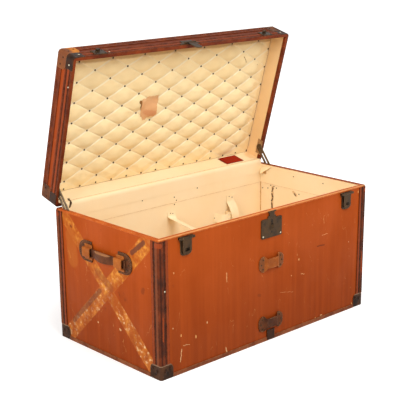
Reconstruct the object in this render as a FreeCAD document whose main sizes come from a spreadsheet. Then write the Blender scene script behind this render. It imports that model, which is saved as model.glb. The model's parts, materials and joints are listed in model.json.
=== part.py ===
"""Travel trunk with a hinged lid, modelled with the lid held open.

Frame: X along the trunk, the front faces -Y, the hinges are at +Y, Z is up, and the origin is
the middle of the base. Lid pieces are drawn in their closed place and then swung open.
"""
import FreeCAD
import Part
import Sketcher
import math
import operator
import os

# Driving sizes, in millimetres, degrees and counts
SIZES = {
    "trunk_length": 900,
    "trunk_depth": 480,
    "body_height": 420,
    "lid_height": 76,
    "lid_open": 74.3,
    "body_round": 5,
    "lid_round": 10,
    "lid_top_round": 5,
    "seat_clearance": 1,
    "rim_gap": 1,
    "canvas": 1,
    "board": 10,
    "base_thickness": 10,
    "lid_board": 8,
    "lid_wall": 5.6,
    "lining": 1.5,
    "band_thickness": 1,
    "band_height": 68,
    "edging_height": 5,
    "edging_thickness": 1.2,
    "edging_top": 2,
    "lid_edging_fold": 11,
    "trim_width": 31,
    "trim_bead_width": 9,
    "trim_bead_depth": 3,
    "trim_flat_depth": 1.8,
    "trim_ridge_width": 14,
    "trim_ridge_depth": 3.2,
    "trim_corner_radius": 8,
    "base_trim_height": 12,
    "base_trim_depth": 2.5,
    "cap_reach": 45,
    "cap_height": 45,
    "cap_thickness": 2,
    "cap_corner_radius": 16,
    "lock_width": 90,
    "lock_height": 61,
    "lock_drop": 54,
    "lock_thickness": 3,
    "lock_corner_radius": 5,
    "lock_bevel": 1,
    "keyhole_width": 4,
    "keyhole_height": 13,
    "keyhole_eye": 3.2,
    "keyhole_rise": 6,
    "case_width": 64,
    "case_height": 46,
    "case_depth": 8.5,
    "case_clearance": 0.3,
    "head_width": 33,
    "head_step": 6,
    "head_depth": 4,
    "head_base": 7,
    "clasp_inset": 100,
    "clasp_drop": 11,
    "clasp_axis_out": 7.5,
    "clasp_barrel": 4,
    "clasp_pin": 1.6,
    "clasp_width": 56,
    "clasp_base_width": 42,
    "clasp_base_drop": 52,
    "clasp_base_thickness": 2,
    "lever_width": 34,
    "lever_length": 48,
    "lever_thickness": 2.5,
    "lever_corner": 12,
    "lever_roll": 2,
    "window_width": 18,
    "window_height": 11,
    "window_distance": 34,
    "catch_width": 44,
    "catch_height": 30,
    "catch_thickness": 2,
    "hook_width": 14,
    "hook_height": 4,
    "hook_reach": 7,
    "hook_lip": 2,
    "knuckle_gap": 0.3,
    "pin_clearance": 0.05,
    "keeper_length": 106,
    "keeper_end_height": 50,
    "keeper_waist": 30,
    "keeper_thickness": 4,
    "keeper_gap": 7,
    "keeper_bridge": 46,
    "keeper_slope": 8,
    "keeper_round": 20,
    "keeper_shoulder": 6,
    "upper_keeper_drop": 165,
    "lower_keeper_rise": 60,
    "clip_width": 32,
    "clip_height": 32,
    "clip_depth": 4,
    "handle_drop": 102,
    "plate_length": 61,
    "plate_height": 64,
    "plate_thickness": 4,
    "plate_round": 30,
    "plate_reach": 49,
    "loop_spacing": 150,
    "loop_width": 35,
    "loop_clear_height": 26,
    "loop_clear_depth": 11,
    "loop_thickness": 2.5,
    "loop_foot": 8,
    "loop_radius": 5,
    "grip_length": 200,
    "grip_neck": 54,
    "grip_end_height": 25,
    "grip_end_thickness": 4.5,
    "grip_waist_height": 30,
    "grip_waist_thickness": 13,
    "grip_rise": 9,
    "grip_shoulder_rise": 5.5,
    "grip_clearance": 0.5,
    "hinge_spacing": 300,
    "hinge_width": 50,
    "hinge_knuckle_length": 16,
    "hinge_leaf_height": 31,
    "hinge_leaf_thickness": 2,
    "hinge_knuckle": 3,
    "hinge_pin": 1.5,
    "hinge_axis_out": 3.3,
    "hinge_clearance": 0.5,
    "stay_reach": 54,
    "stay_rise": 12,
    "stay_width": 22,
    "stay_thickness": 3,
    "stay_tail": 12,
    "stay_corner": 9,
    "stay_recess": 4.4,
    "stay_side_clearance": 0.7,
    "stay_slot_clearance": 0.6,
    "stay_pin": 2.5,
    "stay_rivet": 3,
    "stay_socket": 2,
    "stay_sweep_clearance": 3,
    "pad_base": 5,
    "pad_crown": 6,
    "pad_border_crown": 3,
    "pad_gap": 0.5,
    "tufts_along": 14,
    "tufts_across": 14,
    "lid_cap_reach": 50,
    "lid_cap_thickness": 2.5,
    "lid_cap_corner": 15,
    "bracket_reach": 40,
    "bracket_thickness": 2.5,
    "bracket_corner": 8,
    "lid_trim_depth": 2.5,
    "lid_trim_groove": 1.2,
    "lid_trim_bead": 5,
    "lid_trim_ridge": 9,
    "rim_trim_height": 32,
    "top_trim_width": 25,
    "top_trim_edge": 6,
    "hasp_axis_out": 8,
    "hasp_axis_rise": 5,
    "hasp_barrel": 3,
    "hasp_pin": 1.3,
    "hasp_width": 28,
    "hasp_knuckle": 20,
    "hasp_length": 47,
    "hasp_thickness": 2.5,
    "hasp_corner": 10,
    "hasp_plate_width": 82,
    "hasp_plate_neck": 46,
    "hasp_plate_height": 28,
    "hasp_plate_thickness": 2,
    "tape_width": 36,
    "tape_thickness": 1.2,
    "tape_nailed": 20,
    "tape_wall_bend": 14,
    "tape_floor_bend": 16,
    "tape_floor_run": 30,
    "long_tape_place": 6,
    "long_tape_drop": 20,
    "long_tape_turn": 82,
    "long_tape_reach": 92,
    "long_tape_fall_radius": 60,
    "short_tape_place": 282,
    "short_tape_drop": 17,
    "short_tape_turn": 38,
    "short_tape_reach": 10,
    "short_tape_fall_radius": 80,
}

doc = FreeCAD.newDocument("travel_trunk")
sheet = doc.addObject("Spreadsheet::Sheet", "sizes")
for row, (alias, number) in enumerate(SIZES.items(), start=1):
    sheet.set("A%d" % row, alias.replace("_", " "))
    sheet.set("B%d" % row, str(number))
    sheet.setAlias("B%d" % row, alias)
doc.recompute()

OPERATIONS = {"+": operator.add, "-": operator.sub, "*": operator.mul, "/": operator.truediv}


class Size:
    """A number together with the sheet expression that gives it."""

    def __init__(self, number, text):
        self.number = number
        self.text = text

    def __float__(self):
        return float(self.number)

    def __add__(self, other):
        return combine(self, "+", other)

    def __radd__(self, other):
        return combine(other, "+", self)

    def __sub__(self, other):
        return combine(self, "-", other)

    def __rsub__(self, other):
        return combine(other, "-", self)

    def __mul__(self, other):
        return combine(self, "*", other)

    def __rmul__(self, other):
        return combine(other, "*", self)

    def __truediv__(self, other):
        return combine(self, "/", other)

    def __neg__(self):
        return combine(0, "-", self)


def as_size(value):
    """A Size as it is, or a plain number made into one."""
    if isinstance(value, Size):
        return value
    return Size(float(value), repr(float(value)))


def combine(left, sign, right):
    left = as_size(left)
    right = as_size(right)
    number = OPERATIONS[sign](left.number, right.number)
    return Size(number, "(%s %s %s)" % (left.text, sign, right.text))


def size(alias):
    """A driving size, by its name in the sheet."""
    return Size(float(sheet.get(alias)), "sizes." + alias)


def sine(angle):
    return Size(math.sin(math.radians(angle.number)), "sin(%s)" % angle.text)


def cosine(angle):
    return Size(math.cos(math.radians(angle.number)), "cos(%s)" % angle.text)


# Planes that many pieces share
half = size("trunk_length") / 2
deep = size("trunk_depth") / 2
rim = size("body_height")
lid_rim = rim + size("rim_gap")
lid_top = rim + size("lid_height")
board_x = half - size("canvas")
board_y = deep - size("canvas")
board_round = size("body_round") - size("canvas")
inner_x = board_x - size("board")
inner_y = board_y - size("board")
lined_x = inner_x - size("lining")
lined_y = inner_y - size("lining")
floor_top = size("base_thickness") + size("lining")
wall_top = rim - size("edging_top")
lid_ceiling = lid_top - size("canvas") - size("lid_board")
lid_cap_low = lid_rim + size("rim_trim_height")
lid_wall_low = lid_rim + size("edging_thickness")
lid_inner_x = board_x - size("lid_wall")
lid_inner_y = board_y - size("lid_wall")
lid_lined_x = lid_inner_x - size("lining")
lid_lined_y = lid_inner_y - size("lining")
band_low = wall_top - size("band_height")
lock_z = rim - size("lock_drop")
handle_z = rim - size("handle_drop")
hinge_y = deep + size("hinge_axis_out")
hinge_z = rim + size("rim_gap") / 2
beyond = size("board")

pieces = []


def bind(item, prop, value):
    item.setExpression(prop, as_size(value).text)


def keep(item, label):
    """Marks a finished sub-part and gives it the name of its file."""
    item.Label = label
    pieces.append(item)
    return item


def swing(y, z):
    """Where a point drawn with the lid closed goes when the lid is open."""
    away = y - hinge_y
    up = z - hinge_z
    turned_y = hinge_y + away * cosine(size("lid_open")) + up * sine(size("lid_open"))
    turned_z = hinge_z - away * sine(size("lid_open")) + up * cosine(size("lid_open"))
    return turned_y, turned_z


def place(item, x, y, z, turn):
    """Binds a whole placement: a point and a turn about X."""
    point = "vector(%s; %s; %s)" % (as_size(x).text, as_size(y).text, as_size(z).text)
    rotation = "rotation(vector(1; 0; 0); %s)" % as_size(turn).text
    item.setExpression("Placement", "placement(%s; %s)" % (point, rotation))


def open_lid(item):
    """Swings a piece that was drawn in its closed place."""
    y, z = swing(as_size(0), as_size(0))
    place(item, 0, y, z, -size("lid_open"))
    return item


def box(name, x, y, z):
    """A block between pairs of low and high planes."""
    item = doc.addObject("Part::Box", name)
    for prop, axis, (low, high) in (("Length", "x", x), ("Width", "y", y), ("Height", "z", z)):
        bind(item, prop, high - low)
        bind(item, "Placement.Base." + axis, low)
    return item


def spread(reach):
    """The pair of planes at the same distance each side of the middle."""
    return -reach, reach


def sided(sign, near, far):
    """A pair of planes on one side of the middle, low one first."""
    return (near, far) if sign > 0 else (-far, -near)


def rod(name, x, y, z, radius):
    """A round bar along X between a pair of planes."""
    item = doc.addObject("Part::Cylinder", name)
    item.Placement = FreeCAD.Placement(FreeCAD.Vector(), FreeCAD.Rotation(FreeCAD.Vector(0, 1, 0), 90))
    bind(item, "Radius", radius)
    bind(item, "Height", x[1] - x[0])
    bind(item, "Placement.Base.x", x[0])
    bind(item, "Placement.Base.y", y)
    bind(item, "Placement.Base.z", z)
    return item


def cut(name, base, *tools):
    for step, tool in enumerate(tools):
        item = doc.addObject("Part::Cut", "%s_cut%d" % (name, step))
        item.Base = base
        item.Tool = tool
        base = item
    return base


def fuse(name, *items):
    item = doc.addObject("Part::MultiFuse", name)
    item.Shapes = list(items)
    return item


def group(name, items):
    """Separate solids that share one node."""
    item = doc.addObject("Part::Compound", name)
    item.Links = items
    return item


def sketch_on(body, role, start):
    """An empty sketch on one of the body's own planes, moved out along its normal."""
    plane = next(item for item in body.Origin.OriginFeatures if item.Role == role)
    sketch = body.newObject("Sketcher::SketchObject", body.Name + "_sketch")
    sketch.AttachmentSupport = [(plane, "")]
    sketch.MapMode = "FlatFace"
    bind(sketch, "AttachmentOffset.Base.z", start)
    return sketch


def outline(sketch, points):
    """A closed outline whose every corner is tied to the sheet."""
    first = sketch.GeometryCount
    count = len(points)
    corners = [FreeCAD.Vector(float(x), float(y), 0) for x, y in points]
    for step in range(count):
        sketch.addGeometry(Part.LineSegment(corners[step], corners[(step + 1) % count]))
    for step, (x, y) in enumerate(points):
        line = first + step
        sketch.addConstraint(Sketcher.Constraint("Coincident", line, 2, first + (step + 1) % count, 1))
        for kind, value in (("DistanceX", x), ("DistanceY", y)):
            number = sketch.addConstraint(Sketcher.Constraint(kind, -1, 1, line, 1, float(value)))
            bind(sketch, "Constraints[%d]" % number, value)


def circle(sketch, x, y, radius):
    line = sketch.GeometryCount
    centre = FreeCAD.Vector(float(x), float(y), 0)
    sketch.addGeometry(Part.Circle(centre, FreeCAD.Vector(0, 0, 1), float(radius)))
    for kind, value in (("DistanceX", x), ("DistanceY", y)):
        number = sketch.addConstraint(Sketcher.Constraint(kind, -1, 1, line, 3, float(value)))
        bind(sketch, "Constraints[%d]" % number, value)
    number = sketch.addConstraint(Sketcher.Constraint("Radius", line, float(radius)))
    bind(sketch, "Constraints[%d]" % number, radius)


def rectangle(x, y):
    return [(x[0], y[0]), (x[1], y[0]), (x[1], y[1]), (x[0], y[1])]


def new_body(name):
    return doc.addObject("PartDesign::Body", name)


def pad(body, role, start, depth, *outlines):
    """Adds the outlines to the body as one pad. The first may have holes, which follow it."""
    sketch = sketch_on(body, role, start)
    for points in outlines:
        outline(sketch, points)
    feature = body.newObject("PartDesign::Pad", body.Name + "_pad")
    feature.Profile = sketch
    bind(feature, "Length", depth)
    return feature


def pocket(body, role, start, depth, points, towards_normal=False):
    """Cuts an outline out of the body and makes sure that it did cut."""
    doc.recompute()
    before = body.Shape.Volume
    sketch = sketch_on(body, role, start)
    outline(sketch, points)
    feature = body.newObject("PartDesign::Pocket", body.Name + "_pocket")
    feature.Profile = sketch
    feature.Reversed = towards_normal
    bind(feature, "Length", depth)
    doc.recompute()
    if not body.Shape.Volume < before:
        raise RuntimeError(body.Name + " was not cut")
    return feature


def round_edges(body, radius, chosen):
    """Fillets the edges of the body whose middle and direction pass the test."""
    doc.recompute()
    base = body.Tip
    names = []
    for number, edge in enumerate(base.Shape.Edges, start=1):
        start, end = edge.Vertexes[0].Point, edge.Vertexes[-1].Point
        if chosen((start + end) * 0.5, end - start):
            names.append("Edge%d" % number)
    feature = body.newObject("PartDesign::Fillet", body.Name + "_round")
    feature.Base = (base, names)
    bind(feature, "Radius", radius)
    return feature


TOLERANCE = 0.01


def near(value, target):
    return abs(value - float(target)) < TOLERANCE


def along(direction, axis):
    """True if an edge runs along one axis only."""
    others = [abs(direction[index]) for index in range(3) if index != axis]
    return max(others) < TOLERANCE and abs(direction[axis]) > TOLERANCE


def upright_at(x, y):
    """Picks the upright edge at one corner."""
    return lambda middle, way: along(way, Z) and near(middle.x, x) and near(middle.y, y)


SIDES = {"left": -1, "right": 1}
ENDS = {"front": -1, "back": 1}
X, Y, Z = 0, 1, 2


def rounded_block(name, reach_x, reach_y, z, radius, top_radius=None):
    """A block with rounded upright edges, and a rounded top if a radius is given for it."""
    body = new_body(name)
    pad(body, "XY_Plane", z[0], z[1] - z[0], rectangle(spread(reach_x), spread(reach_y)))
    round_edges(body, radius, lambda middle, way: along(way, Z))
    if top_radius is not None:
        round_edges(body, top_radius,
                    lambda middle, way: near(middle.z, z[1]) and (along(way, X) or along(way, Y)))
    return body


def common(name, base, tool):
    item = doc.addObject("Part::Common", name)
    item.Base = base
    item.Tool = tool
    return item


# Lid stay: the pin in the body lies as far below the rim as the rivet lies above it, so the bar
# turns by exactly half the lid's angle
stay_y = hinge_y - size("stay_reach")
stay_rivet_z = hinge_z + size("stay_rise")
stay_pin_z = hinge_z - size("stay_rise")
stay_open_y, stay_open_z = swing(stay_y, stay_rivet_z)
stay_half_turn = size("lid_open") / 2
stay_run_open = (stay_open_y - stay_y) / sine(stay_half_turn)
stay_run_closed = size("stay_rise") * 2
stay_length = stay_run_open + size("stay_tail")
stay_sweep = size("stay_width") / 2 + size("stay_sweep_clearance")
stay_swing_out = stay_length * sine(stay_half_turn) / 4
stay_recess_y = (stay_y - stay_sweep - stay_swing_out, stay_y + stay_sweep + size("stay_rise"))
stay_plane = inner_x + size("stay_side_clearance")


def stay_recess(name, sign, z):
    """The shallow pocket in an end wall that the stay slides in."""
    return box(name, sided(sign, inner_x - beyond, inner_x + size("stay_recess")), stay_recess_y, z)


def stay_socket(name, sign, z, radius):
    reach = inner_x + size("stay_recess") + size("stay_socket")
    return rod(name, sided(sign, inner_x, reach), stay_y, z, radius)


# Body boards
def make_base_board():
    board = rounded_block("base_block", board_x, board_y, (as_size(0), size("base_thickness")), board_round)
    corners = []
    for side, sx in SIDES.items():
        for end, sy in ENDS.items():
            corners.append(box("base_notch_%s_%s" % (end, side),
                               sided(sx, half - size("cap_reach"), half + beyond),
                               sided(sy, deep - size("cap_reach"), deep + beyond),
                               (-beyond, size("cap_thickness"))))
    keep(cut("base", board, *corners), "base_board")


def lock_mortise():
    slack = size("case_clearance")
    return box("lock_mortise",
               spread(size("case_width") / 2 + slack),
               (-deep - beyond, -deep + size("case_depth") + slack),
               (lock_z - size("case_height") / 2 - slack, lock_z + size("case_height") / 2 + slack))


def make_walls():
    height = (size("base_thickness"), wall_top)
    front = box("front_block", spread(inner_x), (-board_y, -inner_y), height)
    keep(cut("front", front, lock_mortise()), "front_board")
    keep(box("back_board", spread(inner_x), (inner_y, board_y), height), "back_board")
    core = rounded_block("wall_core", board_x, board_y, height, board_round)
    for side, sign in SIDES.items():
        slab = box(side + "_end_slab", sided(sign, inner_x, board_x), spread(board_y), height)
        block = common(side + "_end_block", slab, core)
        bottom = stay_rivet_z - stay_length - size("stay_sweep_clearance")
        recess = stay_recess(side + "_end_recess", sign, (bottom, rim + beyond))
        bore = stay_socket(side + "_end_bore", sign, stay_pin_z, size("stay_pin") + size("pin_clearance"))
        keep(cut(side + "_end", block, recess, bore), side + "_end_board")


def make_body_canvas():
    height = (size("cap_thickness"), wall_top)
    outside = rounded_block("canvas_outside", half, deep, height, size("body_round"))
    inside = rounded_block("canvas_inside", board_x, board_y, (-beyond, rim + beyond), board_round)
    keep(cut("body_canvas", outside, inside, lock_mortise()), "body_canvas")


# Body lining
def make_lining():
    floor = box("base_lining", spread(inner_x), spread(inner_y), (size("base_thickness"), floor_top))
    keep(floor, "base_lining")
    height = (floor_top, wall_top)
    long_walls = [box("%s_lining" % end, spread(inner_x), sided(sign, lined_y, inner_y), height)
                  for end, sign in ENDS.items()]
    keep(group("long_linings", long_walls), "long_wall_linings")
    end_walls = [box("%s_lining" % side, sided(sign, lined_x, inner_x), spread(lined_y), height)
                 for side, sign in SIDES.items()]
    keep(group("short_linings", end_walls), "end_wall_linings")


def make_lining_band():
    height = (band_low, wall_top)
    face_x = lined_x - size("band_thickness")
    face_y = lined_y - size("band_thickness")
    strips = [box("%s_band" % end, spread(lined_x), sided(sign, face_y, lined_y), height)
              for end, sign in ENDS.items()]
    strips += [box("%s_band" % side, sided(sign, face_x, lined_x), spread(face_y), height)
               for side, sign in SIDES.items()]
    keep(group("bands", strips), "lining_band")


# Rim edging: an angle strip on each wall, with a slot for each stay and a notch for each hinge
def hinge_notches(name, z):
    reach = size("hinge_width") / 2 + size("hinge_clearance")
    notches = []
    for number in (-1, 0, 1):
        middle = number * size("hinge_spacing")
        notches.append(box("%s%d" % (name, number + 1), (middle - reach, middle + reach),
                           (deep, deep + beyond), z))
    return notches


def make_rim_edging():
    outer_x = half + size("edging_thickness")
    outer_y = deep + size("edging_thickness")
    inner_edge_x = lined_x - size("band_thickness")
    inner_edge_y = lined_y - size("band_thickness")
    height = (rim - size("edging_height"), rim)
    hollow = (rim - size("edging_height") - beyond, wall_top)
    outer_round = size("body_round") + size("edging_thickness")
    outside = rounded_block("edging_outside", outer_x, outer_y, height, outer_round)
    inside = rounded_block("edging_inside", half, deep, hollow, size("body_round") - size("seat_clearance"))
    strips = []
    for end, sign in ENDS.items():
        slab = box(end + "_edging_slab", spread(outer_x), sided(sign, inner_edge_y, outer_y), height)
        bar = common(end + "_edging_bar", slab, outside)
        notches = hinge_notches("edging_notch", (height[0] - beyond, rim + beyond)) if sign > 0 else []
        strips.append(cut(end + "_edging", bar, inside, *notches))
    for side, sign in SIDES.items():
        bar = box(side + "_edging_bar", sided(sign, inner_edge_x, outer_x), spread(inner_edge_y), height)
        rebate = box(side + "_edging_rebate", sided(sign, inner_edge_x - beyond, half), spread(deep), hollow)
        slot = box(side + "_edging_slot", sided(sign, inner_x, inner_x + size("stay_recess")),
                   stay_recess_y, (hollow[0], rim + beyond))
        strips.append(cut(side + "_edging", bar, rebate, slot))
    keep(group("edgings", strips), "rim_edging")


def moulded_angle(first, second, width, bead, flat, ridge):
    """An angle strip's section: a ridge round the corner and a bead along each free edge.

    first and second are the two wall planes as (sign, distance). bead and ridge are each a width
    and a depth, and flat is the depth between them.
    """
    (sign_a, plane_a), (sign_b, plane_b) = first, second
    steps = [(width, as_size(0)), (width, bead[1]), (width - bead[0], bead[1]), (width - bead[0], flat),
             (ridge[0], flat), (ridge[0], ridge[1])]
    points = [(sign_a * (plane_a - back), sign_b * (plane_b + out)) for back, out in steps]
    points.append((sign_a * (plane_a + ridge[1]), sign_b * (plane_b + ridge[1])))
    points += [(sign_a * (plane_a + out), sign_b * (plane_b - back)) for back, out in reversed(steps)]
    points.append((sign_a * plane_a, sign_b * plane_b))
    return points


# Vertical corner trims
def make_corner_trims():
    bottom = size("cap_height")
    top = rim - size("edging_height")
    bead = (size("trim_bead_width"), size("trim_bead_depth"))
    flat = size("trim_flat_depth")
    ridge = (size("trim_ridge_width"), size("trim_ridge_depth"))
    for end, sy in ENDS.items():
        for side, sx in SIDES.items():
            name = "%s_%s_corner_trim" % (end, side)
            body = new_body(name)
            section = moulded_angle((sx, half), (sy, deep), size("trim_width"), bead, flat, ridge)
            pad(body, "XY_Plane", bottom, top - bottom, section)
            round_edges(body, size("trim_corner_radius"),
                        upright_at(sx * (half + ridge[1]), sy * (deep + ridge[1])))
            keep(body, name)


def make_base_trims():
    height = (as_size(0), size("base_trim_height"))
    strips = [box("%s_base_trim" % end, spread(half - size("cap_reach")),
                  sided(sign, deep, deep + size("base_trim_depth")), height) for end, sign in ENDS.items()]
    strips += [box("%s_base_trim" % side, sided(sign, half, half + size("base_trim_depth")),
                   spread(deep - size("cap_reach")), height) for side, sign in SIDES.items()]
    keep(group("base_trims", strips), "base_edge_trims")


def corner_square(sx, sy, reach, depth):
    """The plan of a corner piece that stands proud of both walls by its depth."""
    return rectangle((sx * (half - reach), sx * (half + depth)), (sy * (deep - reach), sy * (deep + depth)))


def corner_hollow(sx, sy, reach):
    """The plan of what such a piece goes round."""
    return rectangle((sx * (half - reach - beyond), sx * half), (sy * (deep - reach - beyond), sy * deep))


def level_at(x, y, z):
    """Picks the level edges that lie in two upright planes, at one height."""
    def chosen(middle, way):
        on_end = near(middle.x, x) and along(way, Y)
        on_long = near(middle.y, y) and along(way, X)
        return near(middle.z, z) and (on_end or on_long)
    return chosen


def free_corner(sx, sy, reach, z):
    """Picks the two corners where a corner piece's free edges meet."""
    return level_at(sx * (half - reach), sy * (deep - reach), z)


def make_base_caps():
    reach, depth, height = size("cap_reach"), size("cap_thickness"), size("cap_height")
    inner_round = size("body_round") - size("seat_clearance")
    caps = []
    for end, sy in ENDS.items():
        for side, sx in SIDES.items():
            body = new_body("%s_%s_base_cap" % (end, side))
            pad(body, "XY_Plane", 0, height, corner_square(sx, sy, reach, depth))
            pocket(body, "XY_Plane", height, height - depth, corner_hollow(sx, sy, reach))
            round_edges(body, inner_round, upright_at(sx * half, sy * deep))
            round_edges(body, inner_round + depth, upright_at(sx * (half + depth), sy * (deep + depth)))
            round_edges(body, size("cap_corner_radius"), free_corner(sx, sy, reach, height))
            caps.append(body)
    keep(group("base_caps", caps), "base_corner_caps")


# Lock
def make_lock():
    centre = lock_z
    wide, tall = size("lock_width") / 2, size("lock_height") / 2
    plate = new_body("lock_plate")
    eye = centre + size("keyhole_rise")
    face = rectangle(spread(wide), (centre - tall, centre + tall))
    slit = rectangle(spread(size("keyhole_width") / 2), (eye - size("keyhole_height"), eye))
    pad(plate, "XZ_Plane", deep, size("lock_thickness"), face, slit)
    round_edges(plate, size("lock_corner_radius"),
                lambda middle, way: along(way, Y) and near(abs(middle.x), wide))
    eye_sketch = sketch_on(plate, "XZ_Plane", deep)
    circle(eye_sketch, 0, eye, size("keyhole_eye"))
    hole = plate.newObject("PartDesign::Pocket", "keyhole_eye")
    hole.Profile = eye_sketch
    hole.Reversed = True
    hole.Type = "ThroughAll"
    front = -(deep + size("lock_thickness"))
    round_edges(plate, size("lock_bevel"),
                lambda middle, way: along(way, X) and near(middle.y, front)
                and near(abs(middle.z - float(centre)), tall))
    keep(plate, "lock_plate")
    keep(box("lock_case", spread(size("case_width") / 2), (-deep, -deep + size("case_depth")),
             (centre - size("case_height") / 2, centre + size("case_height") / 2)), "lock_case")


def make_lock_head():
    low = lock_z + size("lock_height") / 2
    middle = rim - size("edging_height")
    wide = size("head_width") / 2
    body = new_body("lock_head")
    pad(body, "XZ_Plane", deep, size("head_depth"), rectangle(spread(wide), (low, low + size("head_base"))))
    pad(body, "XZ_Plane", deep, size("head_depth"),
        rectangle(spread(wide - size("head_step")), (low + size("head_base"), middle)))
    pad(body, "XZ_Plane", deep + size("edging_thickness"), size("head_depth"),
        rectangle(spread(wide), (middle, rim - size("rim_gap"))))
    keep(body, "lock_head")


# Clasps
clasp_y = -(deep + size("clasp_axis_out"))
clasp_z = rim - size("clasp_drop")


def clasp_middle(sign):
    return sign * (half - size("clasp_inset"))


def around(middle, width):
    return middle - width / 2, middle + width / 2


def clasp_base(side, sign):
    middle = clasp_middle(sign)
    wide, narrow = size("clasp_width") / 2, size("clasp_base_width") / 2
    low = clasp_z - size("clasp_base_drop")
    flare = clasp_z - size("clasp_barrel") * 3
    top = clasp_z + size("clasp_barrel")
    plate = new_body(side + "_clasp_plate")
    pad(plate, "XZ_Plane", deep, size("clasp_base_thickness"),
        [(middle - narrow, low), (middle + narrow, low), (middle + narrow, flare), (middle + wide, clasp_z),
         (middle + wide, top), (middle - wide, top), (middle - wide, clasp_z), (middle - narrow, flare)])
    round_edges(plate, size("lever_corner"), lambda centre, way: along(way, Y) and near(centre.z, low))
    items = [plate]
    inner = size("lever_width") / 2
    for hand, (start, end) in (("inner", (-wide, -inner)), ("outer", (inner, wide))):
        span = (middle + start, middle + end)
        items.append(rod("%s_clasp_knuckle_%s" % (side, hand), span, clasp_y, clasp_z, size("clasp_barrel")))
        items.append(box("%s_clasp_web_%s" % (side, hand), span, (clasp_y, -deep),
                         (clasp_z - size("clasp_barrel") / 2, clasp_z + size("clasp_barrel") / 2)))
    bore = rod(side + "_clasp_bore", around(middle, size("clasp_width") + beyond), clasp_y, clasp_z,
               size("clasp_pin") + size("pin_clearance"))
    return cut(side + "_clasp_base", fuse(side + "_clasp_blank", *items), bore)


def clasp_lever(side, sign):
    middle = clasp_middle(sign)
    width = size("lever_width") - 2 * size("knuckle_gap")
    low = clasp_z - size("lever_length")
    window_z = clasp_z - size("window_distance")
    body = new_body(side + "_lever_blade")
    pad(body, "XZ_Plane", -clasp_y - size("lever_thickness") / 2, size("lever_thickness"),
        rectangle(around(middle, width), (low, clasp_z)),
        rectangle(around(middle, size("window_width")), around(window_z, size("window_height"))))
    round_edges(body, size("lever_corner"), lambda centre, way: along(way, Y) and near(centre.z, low))
    barrel = rod(side + "_lever_barrel", around(middle, width), clasp_y, clasp_z, size("clasp_barrel"))
    roll = rod(side + "_lever_roll", around(middle, width - 2 * size("lever_corner")), clasp_y, low,
               size("lever_roll"))
    bore = rod(side + "_lever_bore", around(middle, size("clasp_width")), clasp_y, clasp_z,
               size("clasp_pin") + size("pin_clearance"))
    return cut(side + "_lever", fuse(side + "_lever_blank", body, barrel, roll), bore)


def make_clasps():
    bases = [clasp_base(side, sign) for side, sign in SIDES.items()]
    keep(group("clasp_pair", bases), "clasp_bases")
    pins = [rod(side + "_clasp_pin", around(clasp_middle(sign), size("clasp_width")), clasp_y, clasp_z,
                size("clasp_pin")) for side, sign in SIDES.items()]
    keep(group("clasp_pin_pair", pins), "clasp_pins")
    for side, sign in SIDES.items():
        keep(clasp_lever(side, sign), side + "_clasp_lever")


def make_catches():
    """Plates on the lid, each with a hook that goes through the lever's window."""
    back = -(deep + size("lid_trim_depth"))
    face = back - size("catch_thickness")
    hook_z = 2 * clasp_z - (clasp_z - size("window_distance"))
    catches = []
    for side, sign in SIDES.items():
        middle = clasp_middle(sign)
        plate = box(side + "_catch_plate", around(middle, size("catch_width")), (face, back),
                    (lid_rim + size("rim_gap"), lid_rim + size("rim_gap") + size("catch_height")))
        hook = box(side + "_catch_hook", around(middle, size("hook_width")),
                   (face - size("hook_reach"), face), around(hook_z, size("hook_height")))
        lip = box(side + "_catch_lip", around(middle, size("hook_width")),
                  (face - size("hook_reach"), face - size("hook_reach") + size("hook_lip")),
                  (hook_z - size("hook_height") / 2, hook_z + size("hook_height") / 2 + size("hook_lip") / 2))
        catches.append(fuse(side + "_catch", plate, hook, lip))
    keep(open_lid(group("catch_pair", catches)), "lid_catches")


# Leather strap keepers: a bridged strip cut to a waisted outline
def make_keeper(label, height):
    length, bridge = size("keeper_length") / 2, size("keeper_bridge") / 2
    foot = bridge + size("keeper_slope")
    gap, depth = size("keeper_gap"), size("keeper_thickness")
    tall, waist = size("keeper_end_height") / 2, size("keeper_waist") / 2
    strip = new_body(label + "_strip")
    inside = [(-length, as_size(0)), (-foot, as_size(0)), (-bridge, gap), (bridge, gap), (foot, as_size(0)),
              (length, as_size(0))]
    outside = [(x, out + depth) for x, out in reversed(inside)]
    pad(strip, "XY_Plane", height - tall, 2 * tall, [(x, -(deep + out)) for x, out in inside + outside])
    blank = new_body(label + "_outline")
    pad(blank, "XZ_Plane", deep - beyond, gap + depth + 2 * beyond,
        [(-length, height - tall), (-foot, height - tall), (-bridge, height - waist),
         (bridge, height - waist), (foot, height - tall), (length, height - tall),
         (length, height + tall), (foot, height + tall), (bridge, height + waist),
         (-bridge, height + waist), (-foot, height + tall), (-length, height + tall)])
    round_edges(blank, size("keeper_round"),
                lambda centre, way: along(way, Y) and near(abs(centre.x), length))
    round_edges(blank, size("keeper_shoulder"),
                lambda centre, way: along(way, Y) and near(abs(centre.x), foot))
    keep(common(label + "_shape", strip, blank), label)


def make_strap_clip():
    top = size("lower_keeper_rise") - size("keeper_end_height") / 2
    body = new_body("strap_clip")
    low = top - size("clip_height")
    pad(body, "XZ_Plane", deep + size("base_trim_depth"), size("clip_depth") - size("base_trim_depth"),
        rectangle(around(as_size(0), size("clip_width")), (low, size("base_trim_height"))))
    pad(body, "XZ_Plane", deep, size("clip_depth"),
        rectangle(around(as_size(0), size("clip_width")), (size("base_trim_height"), top)))
    keep(body, "strap_clip")


# Handles: round plates, leather loops and a waisted grip that slides out in its loops
plate_face = half + size("plate_thickness")
loop_roof = plate_face + size("loop_clear_depth")


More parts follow.
